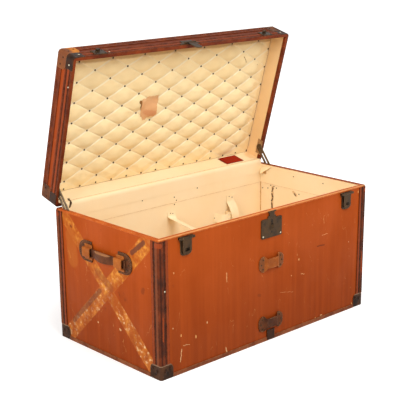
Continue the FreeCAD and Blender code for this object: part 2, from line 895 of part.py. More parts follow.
def handle_plate(side, sx, end, sy):
    far = size("loop_spacing") / 2 + size("plate_reach")
    inner = far - size("plate_length")
    tall = size("plate_height") / 2
    middle = handle_z
    body = new_body("%s_%s_handle_plate" % (side, end))
    start = half if sx > 0 else -plate_face
    pad(body, "YZ_Plane", start, size("plate_thickness"),
        rectangle((sy * inner, sy * far), (middle - tall, middle + tall)))
    round_edges(body, size("plate_round"), lambda centre, way: along(way, X) and near(centre.y, sy * far))
    return body


def handle_loop(side, sx, end, sy):
    thick, clear = size("loop_thickness"), size("loop_clear_height") / 2
    middle = handle_z
    foot = clear + thick + size("loop_foot")
    outer = [(plate_face, foot), (plate_face + thick, foot), (plate_face + thick, clear + thick),
             (loop_roof + thick, clear + thick)]
    inner = [(loop_roof, clear), (plate_face, clear)]
    section = [(x, middle + rise) for x, rise in outer]
    section += [(x, middle - rise) for x, rise in reversed(outer)]
    section += [(x, middle - rise) for x, rise in reversed(inner)]
    section += [(x, middle + rise) for x, rise in inner]
    body = new_body("%s_%s_handle_loop" % (side, end))
    centre_y = sy * size("loop_spacing") / 2
    start = -(centre_y + size("loop_width") / 2)
    pad(body, "XZ_Plane", start, size("loop_width"), [(sx * x, z) for x, z in section])
    round_edges(body, size("loop_radius"),
                lambda centre, way: along(way, Y) and near(centre.x, sx * (loop_roof + thick)))
    return body


def grip_section(sx, out, tall, thick):
    """An eight-sided section of the leather grip."""
    middle = handle_z
    bevel = thick / 4
    corners = [(thick / 2 - bevel, tall / 2), (thick / 2, tall / 2 - bevel),
               (thick / 2, bevel - tall / 2), (thick / 2 - bevel, -(tall / 2)),
               (bevel - thick / 2, -(tall / 2)), (-(thick / 2), bevel - tall / 2),
               (-(thick / 2), tall / 2 - bevel), (bevel - thick / 2, tall / 2)]
    return [(sx * (out + x), middle + z) for x, z in corners]


def make_grip(side, sx):
    end_out = plate_face + size("grip_clearance") + size("grip_end_thickness") / 2
    neck, reach = size("grip_neck"), size("grip_length") / 2
    end = grip_section(sx, end_out, size("grip_end_height"), size("grip_end_thickness"))
    mid_tall = (size("grip_end_height") + 2 * size("grip_waist_height")) / 3
    mid_thick = (size("grip_end_thickness") + size("grip_waist_thickness")) / 2
    shoulder = grip_section(sx, end_out + size("grip_shoulder_rise"), mid_tall, mid_thick)
    waist_out = end_out + size("grip_rise")
    waist = grip_section(sx, waist_out, size("grip_waist_height"), size("grip_waist_thickness"))
    body = new_body(side + "_handle_grip")
    stations = [(-neck, end), (-(neck / 2), shoulder), (as_size(0), waist), (neck / 2, shoulder), (neck, end)]
    sketches = []
    for y, points in stations:
        sketch = sketch_on(body, "XZ_Plane", -y)
        outline(sketch, points)
        sketches.append(sketch)
    doc.recompute()
    loft = body.newObject("PartDesign::AdditiveLoft", side + "_grip_loft")
    loft.Profile = sketches[0]
    loft.Sections = sketches[1:]
    pad(body, "XZ_Plane", neck, reach - neck, end)
    pad(body, "XZ_Plane", -reach, reach - neck, end)
    keep(body, side + "_handle_grip")


def make_handles():
    corners = [(side, sx, end, sy) for side, sx in SIDES.items() for end, sy in ENDS.items()]
    keep(group("plates", [handle_plate(*corner) for corner in corners]), "handle_plates")
    keep(group("loops", [handle_loop(*corner) for corner in corners]), "handle_loops")
    for side, sx in SIDES.items():
        make_grip(side, sx)


# Back hinges
def hinge_leaf(name, middle, below):
    """One leaf: a plate, its knuckles and their webs, bored for the pin."""
    wide = size("hinge_width") / 2
    inner = wide - size("hinge_knuckle_length")
    drop = size("hinge_knuckle") + size("hinge_clearance") + size("hinge_clearance")
    if below:
        plate_z = (hinge_z - drop - size("hinge_leaf_height"), hinge_z - drop)
        web_z = (hinge_z - drop - size("hinge_knuckle"), hinge_z)
        spans = [(middle - wide, middle - inner), (middle + inner, middle + wide)]
    else:
        plate_z = (hinge_z + drop, hinge_z + drop + size("hinge_leaf_height"))
        web_z = (hinge_z, hinge_z + drop + size("hinge_knuckle"))
        slack = size("knuckle_gap")
        spans = [(middle - inner + slack, middle + inner - slack)]
    plate_y = (deep, deep + size("hinge_leaf_thickness"))
    items = [box(name + "_plate", (middle - wide, middle + wide), plate_y, plate_z)]
    web_y = (hinge_y - size("hinge_knuckle"), hinge_y)
    for number, span in enumerate(spans):
        items.append(rod("%s_knuckle%d" % (name, number), span, hinge_y, hinge_z, size("hinge_knuckle")))
        items.append(box("%s_web%d" % (name, number), span, web_y, web_z))
    bore = rod(name + "_bore", (middle - wide - beyond, middle + wide + beyond), hinge_y, hinge_z,
               size("hinge_pin") + size("pin_clearance"))
    return cut(name, fuse(name + "_blank", *items), bore)


def make_hinges():
    middles = [number * size("hinge_spacing") for number in (-1, 0, 1)]
    body_leaves = [hinge_leaf("body_leaf%d" % n, middle, True) for n, middle in enumerate(middles)]
    lid_leaves = [hinge_leaf("lid_leaf%d" % n, middle, False) for n, middle in enumerate(middles)]
    pins = [rod("hinge_pin%d" % n, around(middle, size("hinge_width")), hinge_y, hinge_z, size("hinge_pin"))
            for n, middle in enumerate(middles)]
    keep(group("body_leaves", body_leaves), "hinge_body_leaves")
    keep(open_lid(group("lid_leaves", lid_leaves)), "hinge_lid_leaves")
    keep(group("hinge_pin_set", pins), "hinge_pins")


# Lid stays
def make_stays():
    pins = [stay_socket(side + "_stay_pin", sign, stay_pin_z, size("stay_pin"))
            for side, sign in SIDES.items()]
    keep(group("stay_pin_pair", pins), "stay_pins")
    rivets = [stay_socket(side + "_stay_rivet", sign, stay_rivet_z, size("stay_rivet"))
              for side, sign in SIDES.items()]
    keep(open_lid(group("stay_rivet_pair", rivets)), "stay_rivets")
    wide = size("stay_width") / 2
    slot = size("stay_pin") + size("stay_slot_clearance")
    for side, sign in SIDES.items():
        body = new_body(side + "_lid_stay")
        start = stay_plane if sign > 0 else -stay_plane - size("stay_thickness")
        low = -stay_length
        sketch = sketch_on(body, "YZ_Plane", start)
        outline(sketch, rectangle(spread(wide), (low, wide)))
        outline(sketch, rectangle(spread(slot), (-stay_run_open - slot, slot - stay_run_closed)))
        circle(sketch, 0, 0, size("stay_rivet") + size("pin_clearance"))
        bar = body.newObject("PartDesign::Pad", side + "_stay_bar")
        bar.Profile = sketch
        bind(bar, "Length", size("stay_thickness"))
        round_edges(body, size("stay_corner"),
                    lambda centre, way: along(way, X) and near(abs(centre.y), wide))
        place(body, 0, stay_open_y, stay_open_z, -stay_half_turn)
        keep(body, side + "_lid_stay")


# Lid boards and canvas
def lid_block(name, inset, low):
    """The lid's rounded form, as a solid block, set in from the canvas by an inset."""
    return rounded_block(name, half - inset, deep - inset, (low, lid_top - inset), size("lid_round") - inset,
                         size("lid_top_round") - inset)


def make_lid_boards():
    core = lid_block("lid_core", size("canvas"), rim)
    slab = box("lid_top_slab", spread(board_x), spread(board_y), (lid_ceiling, lid_top - size("canvas")))
    keep(open_lid(common("lid_top", slab, core)), "lid_top_board")
    height = (lid_wall_low, lid_ceiling)
    for end, sign in ENDS.items():
        slab = box("lid_%s_slab" % end, spread(lid_inner_x), sided(sign, lid_inner_y, board_y), height)
        keep(open_lid(common("lid_" + end, slab, core)), "lid_%s_wall" % end)
    for side, sign in SIDES.items():
        slab = box("lid_%s_slab" % side, sided(sign, lid_inner_x, board_x), spread(board_y), height)
        wall = common("lid_%s_block" % side, slab, core)
        bore_radius = size("stay_rivet") + size("pin_clearance")
        bore = stay_socket("lid_%s_bore" % side, sign, stay_rivet_z, bore_radius)
        keep(open_lid(cut("lid_" + side, wall, bore)), "lid_%s_wall" % side)


def lid_stay_window(name, sign):
    """What is cut out of the lid's inside so that the stay can swing."""
    return stay_recess(name, sign, (rim, stay_rivet_z + stay_sweep))


def make_lid_canvas():
    outside = lid_block("lid_canvas_outside", as_size(0), lid_wall_low)
    inside = lid_block("lid_canvas_inside", size("canvas"), rim - beyond)
    keep(open_lid(cut("lid_canvas", outside, inside)), "lid_canvas")


def make_lid_lining():
    height = (lid_wall_low, lid_ceiling)
    strips = [box("lid_%s_lining" % end, spread(lid_inner_x), sided(sign, lid_lined_y, lid_inner_y), height)
              for end, sign in ENDS.items()]
    for side, sign in SIDES.items():
        face = sided(sign, lid_lined_x, lid_inner_x)
        strip = box("lid_%s_lining" % side, face, spread(lid_lined_y), height)
        strips.append(cut("lid_%s_lined" % side, strip, lid_stay_window("lid_%s_window" % side, sign)))
    keep(open_lid(group("lid_linings", strips)), "lid_wall_linings")


# Lid edging: a binding that covers the end of each wall and is folded inwards
def make_lid_edging():
    thick = size("edging_thickness")
    fold = (lid_rim, lid_rim + size("lid_edging_fold"))
    edge_x, edge_y = lid_lined_x - thick, lid_lined_y - thick
    outside = rounded_block("lid_edging_outside", half, deep, fold, size("lid_round"))
    above = (lid_wall_low, fold[1] + beyond)
    strips = []
    for end, sign in ENDS.items():
        slab = box("lid_%s_edging_slab" % end, spread(half), sided(sign, edge_y, deep), fold)
        bar = common("lid_%s_edging_bar" % end, slab, outside)
        behind = sided(sign, lid_lined_y, deep + beyond)
        rebate = box("lid_%s_edging_rebate" % end, spread(half), behind, above)
        sides = [box("lid_%s_edging_%s" % (end, side), sided(hand, lid_lined_x, half), spread(deep), above)
                 for side, hand in SIDES.items()]
        strips.append(cut("lid_%s_edging" % end, bar, rebate, *sides))
    for side, sign in SIDES.items():
        bar = box("lid_%s_edging_bar" % side, sided(sign, edge_x, half), spread(edge_y), fold)
        behind = sided(sign, lid_lined_x, half + beyond)
        rebate = box("lid_%s_edging_rebate" % side, behind, spread(deep), above)
        window = lid_stay_window("lid_%s_edging_window" % side, sign)
        strips.append(cut("lid_%s_edging" % side, bar, rebate, window))
    keep(open_lid(group("lid_edgings", strips)), "lid_edging")


# Quilted lining: domed diamonds between straight sewn lines, with a tuft at each crossing
def line_between(start, end):
    return Part.Wire([Part.LineSegment(start, end).toShape()])


def domed_diamond(corners, crown):
    """A surface with straight edges whose middle swells by the crown."""
    a, b, c, d = corners
    centre = (a + b + c + d) * 0.25 + crown
    bow = Part.Wire([Part.Arc((a + d) * 0.5, centre, (b + c) * 0.5).toShape()])
    return Part.makeLoft([line_between(a, b), bow, line_between(d, c)], False, False).Faces


def raised_triangle(corners, crown):
    """Three flat facets that meet over the middle of a half diamond."""
    a, b, c = corners
    peak = (a + b + c) * (1 / 3) + crown
    return [Part.Face(Part.makePolygon([start, end, peak, start])) for start, end in ((a, b), (b, c), (c, a))]


def make_quilted_pad():
    along_count, across_count = int(sheet.get("tufts_along")), int(sheet.get("tufts_across"))
    reach_x = float(lid_lined_x - size("pad_gap"))
    reach_y = float(lid_lined_y - size("pad_gap"))
    ceiling = float(lid_ceiling)
    tuft_z = ceiling - float(size("pad_base"))
    crown = FreeCAD.Vector(0, 0, -float(size("pad_crown")))
    border_crown = FreeCAD.Vector(0, 0, -float(size("pad_border_crown")))

    def knot(i, j):
        x = reach_x * (2 * i / along_count - 1)
        y = reach_y * (1 - 2 * j / across_count)
        return FreeCAD.Vector(x, y, tuft_z)

    faces = []
    for i in range(along_count + 1):
        for j in range(across_count + 1):
            if (i + j) % 2 == 0:
                continue
            around_cell = [(i - 1, j), (i, j - 1), (i + 1, j), (i, j + 1)]
            inside = [(p, q) for p, q in around_cell if 0 <= p <= along_count and 0 <= q <= across_count]
            corners = [knot(p, q) for p, q in inside]
            if len(corners) == 4:
                faces += domed_diamond(corners, crown)
            else:
                faces += raised_triangle(corners, border_crown)
    rows = [knot(i, 0) for i in range(0, along_count + 1, 2)]
    rows += [knot(along_count, j) for j in range(2, across_count + 1, 2)]
    rows += [knot(i, across_count) for i in range(along_count - 2, -1, -2)]
    rows += [knot(0, j) for j in range(across_count - 2, -1, -2)]
    roof = [FreeCAD.Vector(x, y, ceiling) for x, y in
            ((-reach_x, reach_y), (reach_x, reach_y), (reach_x, -reach_y), (-reach_x, -reach_y))]
    faces.append(Part.Face(Part.makePolygon(roof + roof[:1])))
    for number, start in enumerate(roof):
        end = roof[(number + 1) % 4]
        first = next(k for k, p in enumerate(rows) if near(p.x, start.x) and near(p.y, start.y))
        run = rows[first:] + rows[:1] if number == 3 else rows[first:]
        last = next(k for k, p in enumerate(run) if near(p.x, end.x) and near(p.y, end.y))
        faces.append(Part.Face(Part.makePolygon([start] + run[:last + 1] + [end, start])))
    shell = Part.Shell(faces)
    shell.sewShape()
    item = doc.addObject("Part::Feature", "quilted_pad")
    item.Shape = Part.Solid(shell)
    open_lid(item)
    keep(item, "quilted_pad")


# Lid trims, with beads along the edges and a ridge between them
def moulded_strip(sign, plane):
    """The section of a flat strip on one wall: three raised beads with grooves between them."""
    depth, groove = size("lid_trim_depth"), size("lid_trim_groove")
    low, high = lid_rim, lid_cap_low
    middle = (low + high) / 2
    bead, ridge = size("lid_trim_bead"), size("lid_trim_ridge") / 2
    steps = [(as_size(0), low), (depth, low), (depth, low + bead), (groove, low + bead),
             (groove, middle - ridge), (depth, middle - ridge),
             (depth, middle + ridge), (groove, middle + ridge),
             (groove, high - bead), (depth, high - bead), (depth, high), (as_size(0), high)]
    return [(sign * (plane + out), z) for out, z in steps]


def lid_strip(name, role, reach, section):
    """Draws a section out along a wall, to the same distance each side of the middle."""
    body = new_body(name)
    pad(body, role, -reach, 2 * reach, section)
    return body


def make_rim_trims():
    rim_x, rim_y = half - size("bracket_reach"), deep - size("bracket_reach")
    strips = []
    for end, sign in ENDS.items():
        strip = lid_strip("lid_%s_rim_strip" % end, "YZ_Plane", rim_x, moulded_strip(sign, deep))
        notches = hinge_notches("lid_trim_notch", (rim, lid_cap_low + beyond)) if sign > 0 else []
        strips.append(cut("lid_%s_rim" % end, strip, *notches))
    for side, sign in SIDES.items():
        strips.append(lid_strip("lid_%s_rim_strip" % side, "XZ_Plane", rim_y, moulded_strip(sign, half)))
    keep(open_lid(group("rim_trims", strips)), "lid_rim_trims")


def make_top_trims():
    depth, wide = size("lid_trim_depth"), size("top_trim_width")
    bead = (size("lid_trim_bead"), depth)
    flat = size("lid_trim_groove")
    ridge = (size("lid_trim_ridge"), depth)
    top = lid_top + depth
    angles = []
    for end, sign in ENDS.items():
        section = moulded_angle((sign, deep), (1, lid_top), wide, bead, flat, ridge)
        strip = lid_strip("lid_%s_angle" % end, "YZ_Plane", half - size("lid_cap_reach"), section)
        round_edges(strip, size("top_trim_edge"), lambda middle, way: along(way, X) and near(middle.z, top)
                    and near(middle.y, sign * (deep + depth)))
        angles.append(strip)
    for side, sign in SIDES.items():
        section = moulded_angle((sign, half), (1, lid_top), wide, bead, flat, ridge)
        strip = lid_strip("lid_%s_angle" % side, "XZ_Plane", deep - size("lid_cap_reach"), section)
        round_edges(strip, size("top_trim_edge"), lambda middle, way: along(way, Y) and near(middle.z, top)
                    and near(middle.x, sign * (half + depth)))
        angles.append(strip)
    keep(open_lid(group("top_trims", angles)), "lid_top_trims")


def make_lid_caps():
    reach, depth = size("lid_cap_reach"), size("lid_cap_thickness")
    top = lid_top + depth
    inner_round = size("lid_round") - size("seat_clearance")
    inner_top_round = size("lid_top_round") - size("seat_clearance")
    for end, sy in ENDS.items():
        for side, sx in SIDES.items():
            name = "lid_%s_%s_cap" % (end, side)
            body = new_body(name)
            outer_x, outer_y = sx * (half + depth), sy * (deep + depth)
            pad(body, "XY_Plane", lid_cap_low, top - lid_cap_low, corner_square(sx, sy, reach, depth))
            pocket(body, "XY_Plane", lid_cap_low, lid_top - lid_cap_low, corner_hollow(sx, sy, reach), True)
            round_edges(body, inner_round, upright_at(sx * half, sy * deep))
            round_edges(body, inner_top_round, level_at(sx * half, sy * deep, lid_top))
            round_edges(body, inner_round + depth, upright_at(outer_x, outer_y))
            round_edges(body, inner_top_round + depth, level_at(outer_x, outer_y, top))
            round_edges(body, size("lid_cap_corner"), free_corner(sx, sy, reach, lid_cap_low))
            round_edges(body, size("lid_cap_corner"), upright_at(sx * (half - reach), sy * (deep - reach)))
            keep(open_lid(body), name)


def make_rim_brackets():
    reach, depth = size("bracket_reach"), size("bracket_thickness")
    height = size("rim_trim_height")
    inner_round = size("lid_round") - size("seat_clearance")
    brackets = []
    for end, sy in ENDS.items():
        for side, sx in SIDES.items():
            body = new_body("lid_%s_%s_bracket" % (end, side))
            pad(body, "XY_Plane", lid_rim, height, corner_square(sx, sy, reach, depth))
            pocket(body, "XY_Plane", lid_rim, height, corner_hollow(sx, sy, reach), True)
            round_edges(body, inner_round, upright_at(sx * half, sy * deep))
            round_edges(body, inner_round + depth, upright_at(sx * (half + depth), sy * (deep + depth)))
            round_edges(body, size("bracket_corner"), free_corner(sx, sy, reach, lid_cap_low))
            brackets.append(body)
    keep(open_lid(group("rim_brackets", brackets)), "lid_rim_brackets")


# Hasp
def make_hasp():
    axis_y = -(deep + size("hasp_axis_out"))
    axis_z = lid_rim + size("hasp_axis_rise")
    barrel = size("hasp_barrel")
    bore_radius = size("hasp_pin") + size("pin_clearance")
    wide, neck = size("hasp_plate_width") / 2, size("hasp_plate_neck") / 2
    inner = size("hasp_knuckle") / 2
    low, top = axis_z - barrel, lid_rim + size("rim_gap") + size("hasp_plate_height")
    plate = new_body("hasp_plate_blank")
    pad(plate, "XZ_Plane", deep + size("lid_trim_depth"), size("hasp_plate_thickness"),
        [(-wide, low), (wide, low), (wide, axis_z + barrel), (neck, (axis_z + top) / 2), (neck, top),
         (-neck, top), (-neck, (axis_z + top) / 2), (-wide, axis_z + barrel)])
    items = [plate]
    for hand, span in (("left", (-neck, -inner)), ("right", (inner, neck))):
        items.append(rod("hasp_plate_knuckle_" + hand, span, axis_y, axis_z, barrel))
        items.append(box("hasp_plate_web_" + hand, span, (axis_y, -(deep + size("lid_trim_depth"))),
                         (axis_z - barrel / 2, axis_z + barrel / 2)))
    bore = rod("hasp_plate_bore", spread(wide), axis_y, axis_z, bore_radius)
    keep(open_lid(cut("hasp_plate", fuse("hasp_plate_solid", *items), bore)), "hasp_plate")
    pin = rod("hasp_pin_rod", spread(neck), axis_y, axis_z, size("hasp_pin"))
    keep(open_lid(group("hasp_pin", [pin])), "hasp_pin")
    tip = axis_z - size("hasp_length")
    half_width = size("hasp_width") / 2
    knuckle = inner - size("knuckle_gap")
    blade = new_body("hasp_blade")
    neck_z, shoulder_z = axis_z - 2 * barrel, axis_z - 4 * barrel
    pad(blade, "XZ_Plane", -axis_y - size("hasp_thickness") / 2, size("hasp_thickness"),
        [(-knuckle, axis_z), (-knuckle, neck_z), (-half_width, shoulder_z), (-half_width, tip),
         (half_width, tip), (half_width, shoulder_z), (knuckle, neck_z), (knuckle, axis_z)])
    round_edges(blade, size("hasp_corner"), lambda middle, way: along(way, Y) and near(middle.z, tip))
    hasp_barrel = rod("hasp_barrel", spread(knuckle), axis_y, axis_z, barrel)
    hasp_bore = rod("hasp_bore", spread(half_width), axis_y, axis_z, bore_radius)
    keep(open_lid(cut("hasp", fuse("hasp_solid", blade, hasp_barrel), hasp_bore)), "hasp")


# Tapes: cloth strips nailed to the back lining that droop to the floor
def ribbon(start, heading, moves, thickness):
    """A strip that follows straight runs and tangent arcs in the YZ plane.

    Each move is a length and a turn in degrees. A turn of 0 is a straight run.
    """
    left, right = [], []
    point = FreeCAD.Vector(0, start[0], start[1])
    way = math.radians(heading)
    offset = thickness / 2
    for amount, turn in moves:
        forward = FreeCAD.Vector(0, math.cos(way), math.sin(way))
        normal = FreeCAD.Vector(0, -math.sin(way), math.cos(way))
        if turn == 0:
            after = point + forward * amount
            left.append(Part.LineSegment(point + normal * offset, after + normal * offset).toShape())
            right.append(Part.LineSegment(point - normal * offset, after - normal * offset).toShape())
        else:
            bend = math.radians(turn)
            hand = math.copysign(1, turn)
            centre = point + normal * (hand * amount)

            def spoke(share, reach):
                angle = way + bend * share - hand * math.pi / 2
                return centre + FreeCAD.Vector(0, math.cos(angle), math.sin(angle)) * reach
            inner, outer = amount - hand * offset, amount + hand * offset
            left.append(Part.Arc(spoke(0, inner), spoke(0.5, inner), spoke(1, inner)).toShape())
            right.append(Part.Arc(spoke(0, outer), spoke(0.5, outer), spoke(1, outer)).toShape())
            after = spoke(1, amount)
            way += bend
        point = after
    start_cap = Part.LineSegment(left[0].Vertexes[0].Point, right[0].Vertexes[0].Point).toShape()
    end_cap = Part.LineSegment(left[-1].Vertexes[-1].Point, right[-1].Vertexes[-1].Point).toShape()
    return Part.Face(Part.Wire(Part.__sortEdges__(left + right + [start_cap, end_cap])))


def make_tape(label):
    thickness = float(size("tape_thickness"))
    top = float(band_low - size(label + "_drop"))
    turn, reach = float(size(label + "_turn")), float(size(label + "_reach"))
    bend, fall = float(size("tape_wall_bend")), float(size(label + "_fall_radius"))
    floor_bend = float(size("tape_floor_bend"))
    nailed = float(size("tape_nailed"))
    floor = float(floor_top) + thickness / 2
    slope = math.radians(turn)
    drop = nailed + (bend + fall) * math.sin(slope) + reach * math.cos(slope) + floor_bend
    straight = top - floor - drop
    moves = [(nailed, 0), (bend, -turn), (reach, 0), (fall, turn), (straight, 0), (floor_bend, -90),
             (float(size("tape_floor_run")), 0)]
    face = ribbon((float(lined_y) - thickness / 2, top), -90, moves, thickness)
    item = doc.addObject("Part::Feature", label)
    item.Shape = face.extrude(FreeCAD.Vector(float(size("tape_width")), 0, 0))
    bind(item, "Placement.Base.x", size(label + "_place") - size("tape_width") / 2)
    keep(item, label)


make_base_board()
make_walls()
make_body_canvas()
make_lining()
make_lining_band()
make_rim_edging()
make_corner_trims()
make_base_trims()
make_base_caps()
make_lock()
make_lock_head()
make_clasps()
make_keeper("upper_strap_keeper", rim - size("upper_keeper_drop"))
make_keeper("lower_strap_keeper", size("lower_keeper_rise"))
make_strap_clip()
make_handles()
make_hinges()
make_stays()
make_tape("long_tape")
make_tape("short_tape")
make_lid_boards()
make_lid_canvas()
make_lid_lining()
make_lid_edging()
make_quilted_pad()
make_rim_trims()
make_top_trims()
make_lid_caps()
make_rim_brackets()
make_catches()
make_hasp()

doc.recompute()
failed = [item.Name for item in doc.Objects if "Invalid" in item.State or "Error" in item.State]
failed += [item.Label for item in pieces if item.Shape.isNull() or not item.Shape.isValid()]
if failed:
    raise RuntimeError("these did not build: " + ", ".join(failed))

os.makedirs("parts", exist_ok=True)
for piece in pieces:
    piece.Shape.exportStep("parts/%s.step" % piece.Label)
print("%d sub-parts, stay runs from %.1f to %.1f mm" % (len(pieces), stay_run_closed, stay_run_open))
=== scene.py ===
# %% [markdown]
# # A travel trunk with its lid open
# The solid model of the trunk is the fixed frame of this lesson. Boards, plates, hinges and trims are
# already in it at their real places, in metres. We give each of them a finish, and model what a solid
# model leaves out: the quilted lid, cloth tapes, nails, stitches and the marks of long use.

# %% Load the frame
import bmesh
import bpy
import json
import math
from mathutils import Matrix, Vector, noise


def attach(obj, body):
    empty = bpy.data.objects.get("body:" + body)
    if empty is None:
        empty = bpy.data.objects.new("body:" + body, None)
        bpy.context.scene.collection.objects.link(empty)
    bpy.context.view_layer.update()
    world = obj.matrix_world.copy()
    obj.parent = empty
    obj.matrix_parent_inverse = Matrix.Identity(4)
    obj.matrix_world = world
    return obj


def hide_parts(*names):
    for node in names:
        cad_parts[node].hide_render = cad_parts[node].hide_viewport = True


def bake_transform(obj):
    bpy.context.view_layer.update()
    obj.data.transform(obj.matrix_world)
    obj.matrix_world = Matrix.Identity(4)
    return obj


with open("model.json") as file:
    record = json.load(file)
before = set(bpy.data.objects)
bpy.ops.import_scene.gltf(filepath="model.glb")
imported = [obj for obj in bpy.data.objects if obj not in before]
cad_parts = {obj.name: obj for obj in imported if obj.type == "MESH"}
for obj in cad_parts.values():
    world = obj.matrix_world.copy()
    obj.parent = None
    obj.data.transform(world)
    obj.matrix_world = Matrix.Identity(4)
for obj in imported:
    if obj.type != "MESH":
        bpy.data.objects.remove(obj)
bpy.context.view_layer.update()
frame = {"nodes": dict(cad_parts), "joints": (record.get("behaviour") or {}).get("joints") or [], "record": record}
MM = 0.001
HALF_LENGTH, HALF_DEPTH = 450, 240
SIGNS = [(sx, sy) for sx in (-1, 1) for sy in (-1, 1)]

# %% [markdown]
# The lid is modelled open, but its pieces are easier to think of closed, when the quilt lies flat. So
# lid pieces are made in the closed place, and one matrix swings them open. It comes from the joint itself,
# so that it can't drift apart from the solids.

# %% How the lid swings
hinge = next(joint for joint in frame["joints"] if joint["name"] == "lid_hinge")
hinge_at = Vector(hinge["pos_m"])
swing = Matrix.Rotation(-math.radians(hinge["range_deg"][1]), 4, "X")
OPENED = Matrix.Translation(hinge_at) @ swing @ Matrix.Translation(-hinge_at)
STILL = Matrix.Identity(4)


def opened(*place):
    """A point of the closed lid, in millimetres, where it is on the open lid."""
    return tuple(OPENED @ (Vector(place) * MM) / MM)


print("lid opened by", hinge["range_deg"][1], "degrees about", tuple(hinge_at))

# %% [markdown]
# A camera is matched to the photograph by its direction, distance and lens. It stands to the left of the
# front and a little above, with a long lens, which is why the upright edges stay almost parallel. The
# small shift is the crop of the picture, and the roll is the tilt of the hand that held the camera.

# %% The camera
AZIMUTH, ELEVATION, ROLL = math.radians(-43.27), math.radians(17.06), math.radians(-0.37)
DISTANCE, LENS, SENSOR, SHIFT = 3.3705, 94.55, 36, (-0.0293, 0.1012)
aim = Vector((-0.0225, 0, 0.2763))
away = Vector((math.sin(AZIMUTH) * math.cos(ELEVATION), -math.cos(AZIMUTH) * math.cos(ELEVATION),
               math.sin(ELEVATION)))
bpy.ops.object.camera_add(location=aim + away * DISTANCE)
camera = bpy.context.active_object
camera.rotation_mode = "QUATERNION"
camera.rotation_quaternion = away.to_track_quat("Z", "Y") @ Matrix.Rotation(ROLL, 3, "Z").to_quaternion()
camera.data.lens, camera.data.sensor_width = LENS, SENSOR
camera.data.shift_x, camera.data.shift_y = SHIFT
bpy.context.scene.camera = camera
bpy.context.scene.view_settings.view_transform = "Standard"
print("camera at", tuple(round(value, 3) for value in camera.location))

# %% [markdown]
# Nodes are wired with a few short helpers. Each takes plain numbers or sockets, so that a line of the
# script reads like a sum. They all work on one node tree at a time, the one on the bench.

# %% Wiring helpers
bench = None


def lay_out(owner):
    """Empties the node tree of a world or a material, and takes it to the bench."""
    global bench
    owner.use_nodes = True
    bench = owner.node_tree
    bench.nodes.clear()


def put(socket, value):
    """Links a socket, or writes a plain value."""
    if isinstance(value, bpy.types.NodeSocket):
        bench.links.new(value, socket)
    else:
        socket.default_value = value


def add(kind, settings=(), **sockets):
    """Adds a node, with its settings and with its inputs by name."""
    made = bench.nodes.new("ShaderNode" + kind)
    for key, value in dict(settings).items():
        setattr(made, key, value)
    for key, value in sockets.items():
        put(made.inputs[key.replace("_", " ")], value)
    return made


def sum_up(way, *values):
    """One step of arithmetic."""
    made = add("Math", {"operation": way})
    for socket, value in zip(made.inputs, values):
        put(socket, value)
    return made.outputs[0]


def times(first, second):
    return sum_up("MULTIPLY", first, second)


def join(way, first, second):
    """One step of vector arithmetic."""
    made = add("VectorMath", {"operation": way})
    put(made.inputs[0], first)
    put(made.inputs["Scale"] if way == "SCALE" else made.inputs[1], second)
    return made.outputs["Value" if way in ("DOT_PRODUCT", "DISTANCE") else "Vector"]


def ease(value, low, high, start=0.0, end=1.0):
    """Runs smoothly from start to end while the value goes from low to high."""
    return add("MapRange", {"interpolation_type": "SMOOTHSTEP"}, Value=value, From_Min=low,
               From_Max=high, To_Min=start, To_Max=end).outputs[0]


def linear(colour):
    """A screen colour from 0 to 255, as the linear light that Blender works in."""
    return tuple((value / 255 / 12.92) if value < 11 else ((value / 255 + 0.055) / 1.055) ** 2.4
                 for value in colour) + (1.0,)


def tint(share, first, second):
    """Mixes two colours. Each is a socket or a screen colour."""
    made = add("Mix", {"data_type": "RGBA"})
    put(made.inputs[0], share)
    for number, value in ((6, first), (7, second)):
        put(made.inputs[number], linear(value) if isinstance(value, tuple) else value)
    return made.outputs[2]


def wash(colour, mask, cover, shade):
    """Lays a shade over a colour, as far as the mask and the cover say."""
    return tint(times(mask, cover), colour, shade)


def here():
    """The place on the piece, in metres."""
    return add("TexCoord").outputs["Object"]


def noisy(place, scale, detail=2.0, roughness=0.5, output="Fac"):
    """Cloudy noise about 0.5."""
    return add("TexNoise", Vector=place, Scale=scale, Detail=detail,
               Roughness=roughness).outputs[output]


print("wiring helpers ready")

# %% [markdown]
# The studio is a pale floor under a soft sky with three large lamps, one overhead and one to each side,
# as in a saleroom picture. Rays from the camera see the sky and the far floor as plain white, and the
# floor near the trunk keeps its shadow.

# %% World and lamps
def seen_by(*kinds):
    """1 for rays of the kinds that are to see plain white."""
    rays = add("LightPath").outputs
    seen = rays[kinds[0]]
    for kind in kinds[1:]:
        seen = sum_up("MAXIMUM", seen, rays[kind])
    return seen


studio = bpy.data.worlds.new("studio")
bpy.context.scene.world = studio
lay_out(studio)
both = add("MixShader", Fac=seen_by("Is Camera Ray", "Is Glossy Ray", "Is Transmission Ray"))
put(both.inputs[1], add("Background", Color=(1, 0.985, 0.96, 1), Strength=0.35).outputs[0])
put(both.inputs[2], add("Background", Color=(1, 1, 1, 1), Strength=1.0).outputs[0])
put(add("OutputWorld").inputs["Surface"], both.outputs[0])

LAMPS = {"overhead": ((-0.2, -2.4, 2.9), 2.4, 80), "right_side": ((3.0, -2.6, 2.0), 1.8, 30),
         "left_side": ((-3.4, -0.4, 1.9), 1.8, 82)}
LIT_AT = Vector((0, 0, 0.35))
for name, (place, across, power) in LAMPS.items():
    bpy.ops.object.light_add(type="AREA", location=place)
    lamp = bpy.context.active_object
    lamp.name, lamp.data.size, lamp.data.energy = name, across, power
    lamp.rotation_euler = (Vector(place) - LIT_AT).to_track_quat("Z", "Y").to_euler()
print("lamps:", ", ".join(LAMPS))

# %% [markdown]
# Operators act on whatever is selected, so a helper clears the selection before each new primitive. Another
# goes into edit mode, selects points by a test on their place, runs one or more steps on them, and comes
# back. The last one puts a finished piece on the body that carries it.

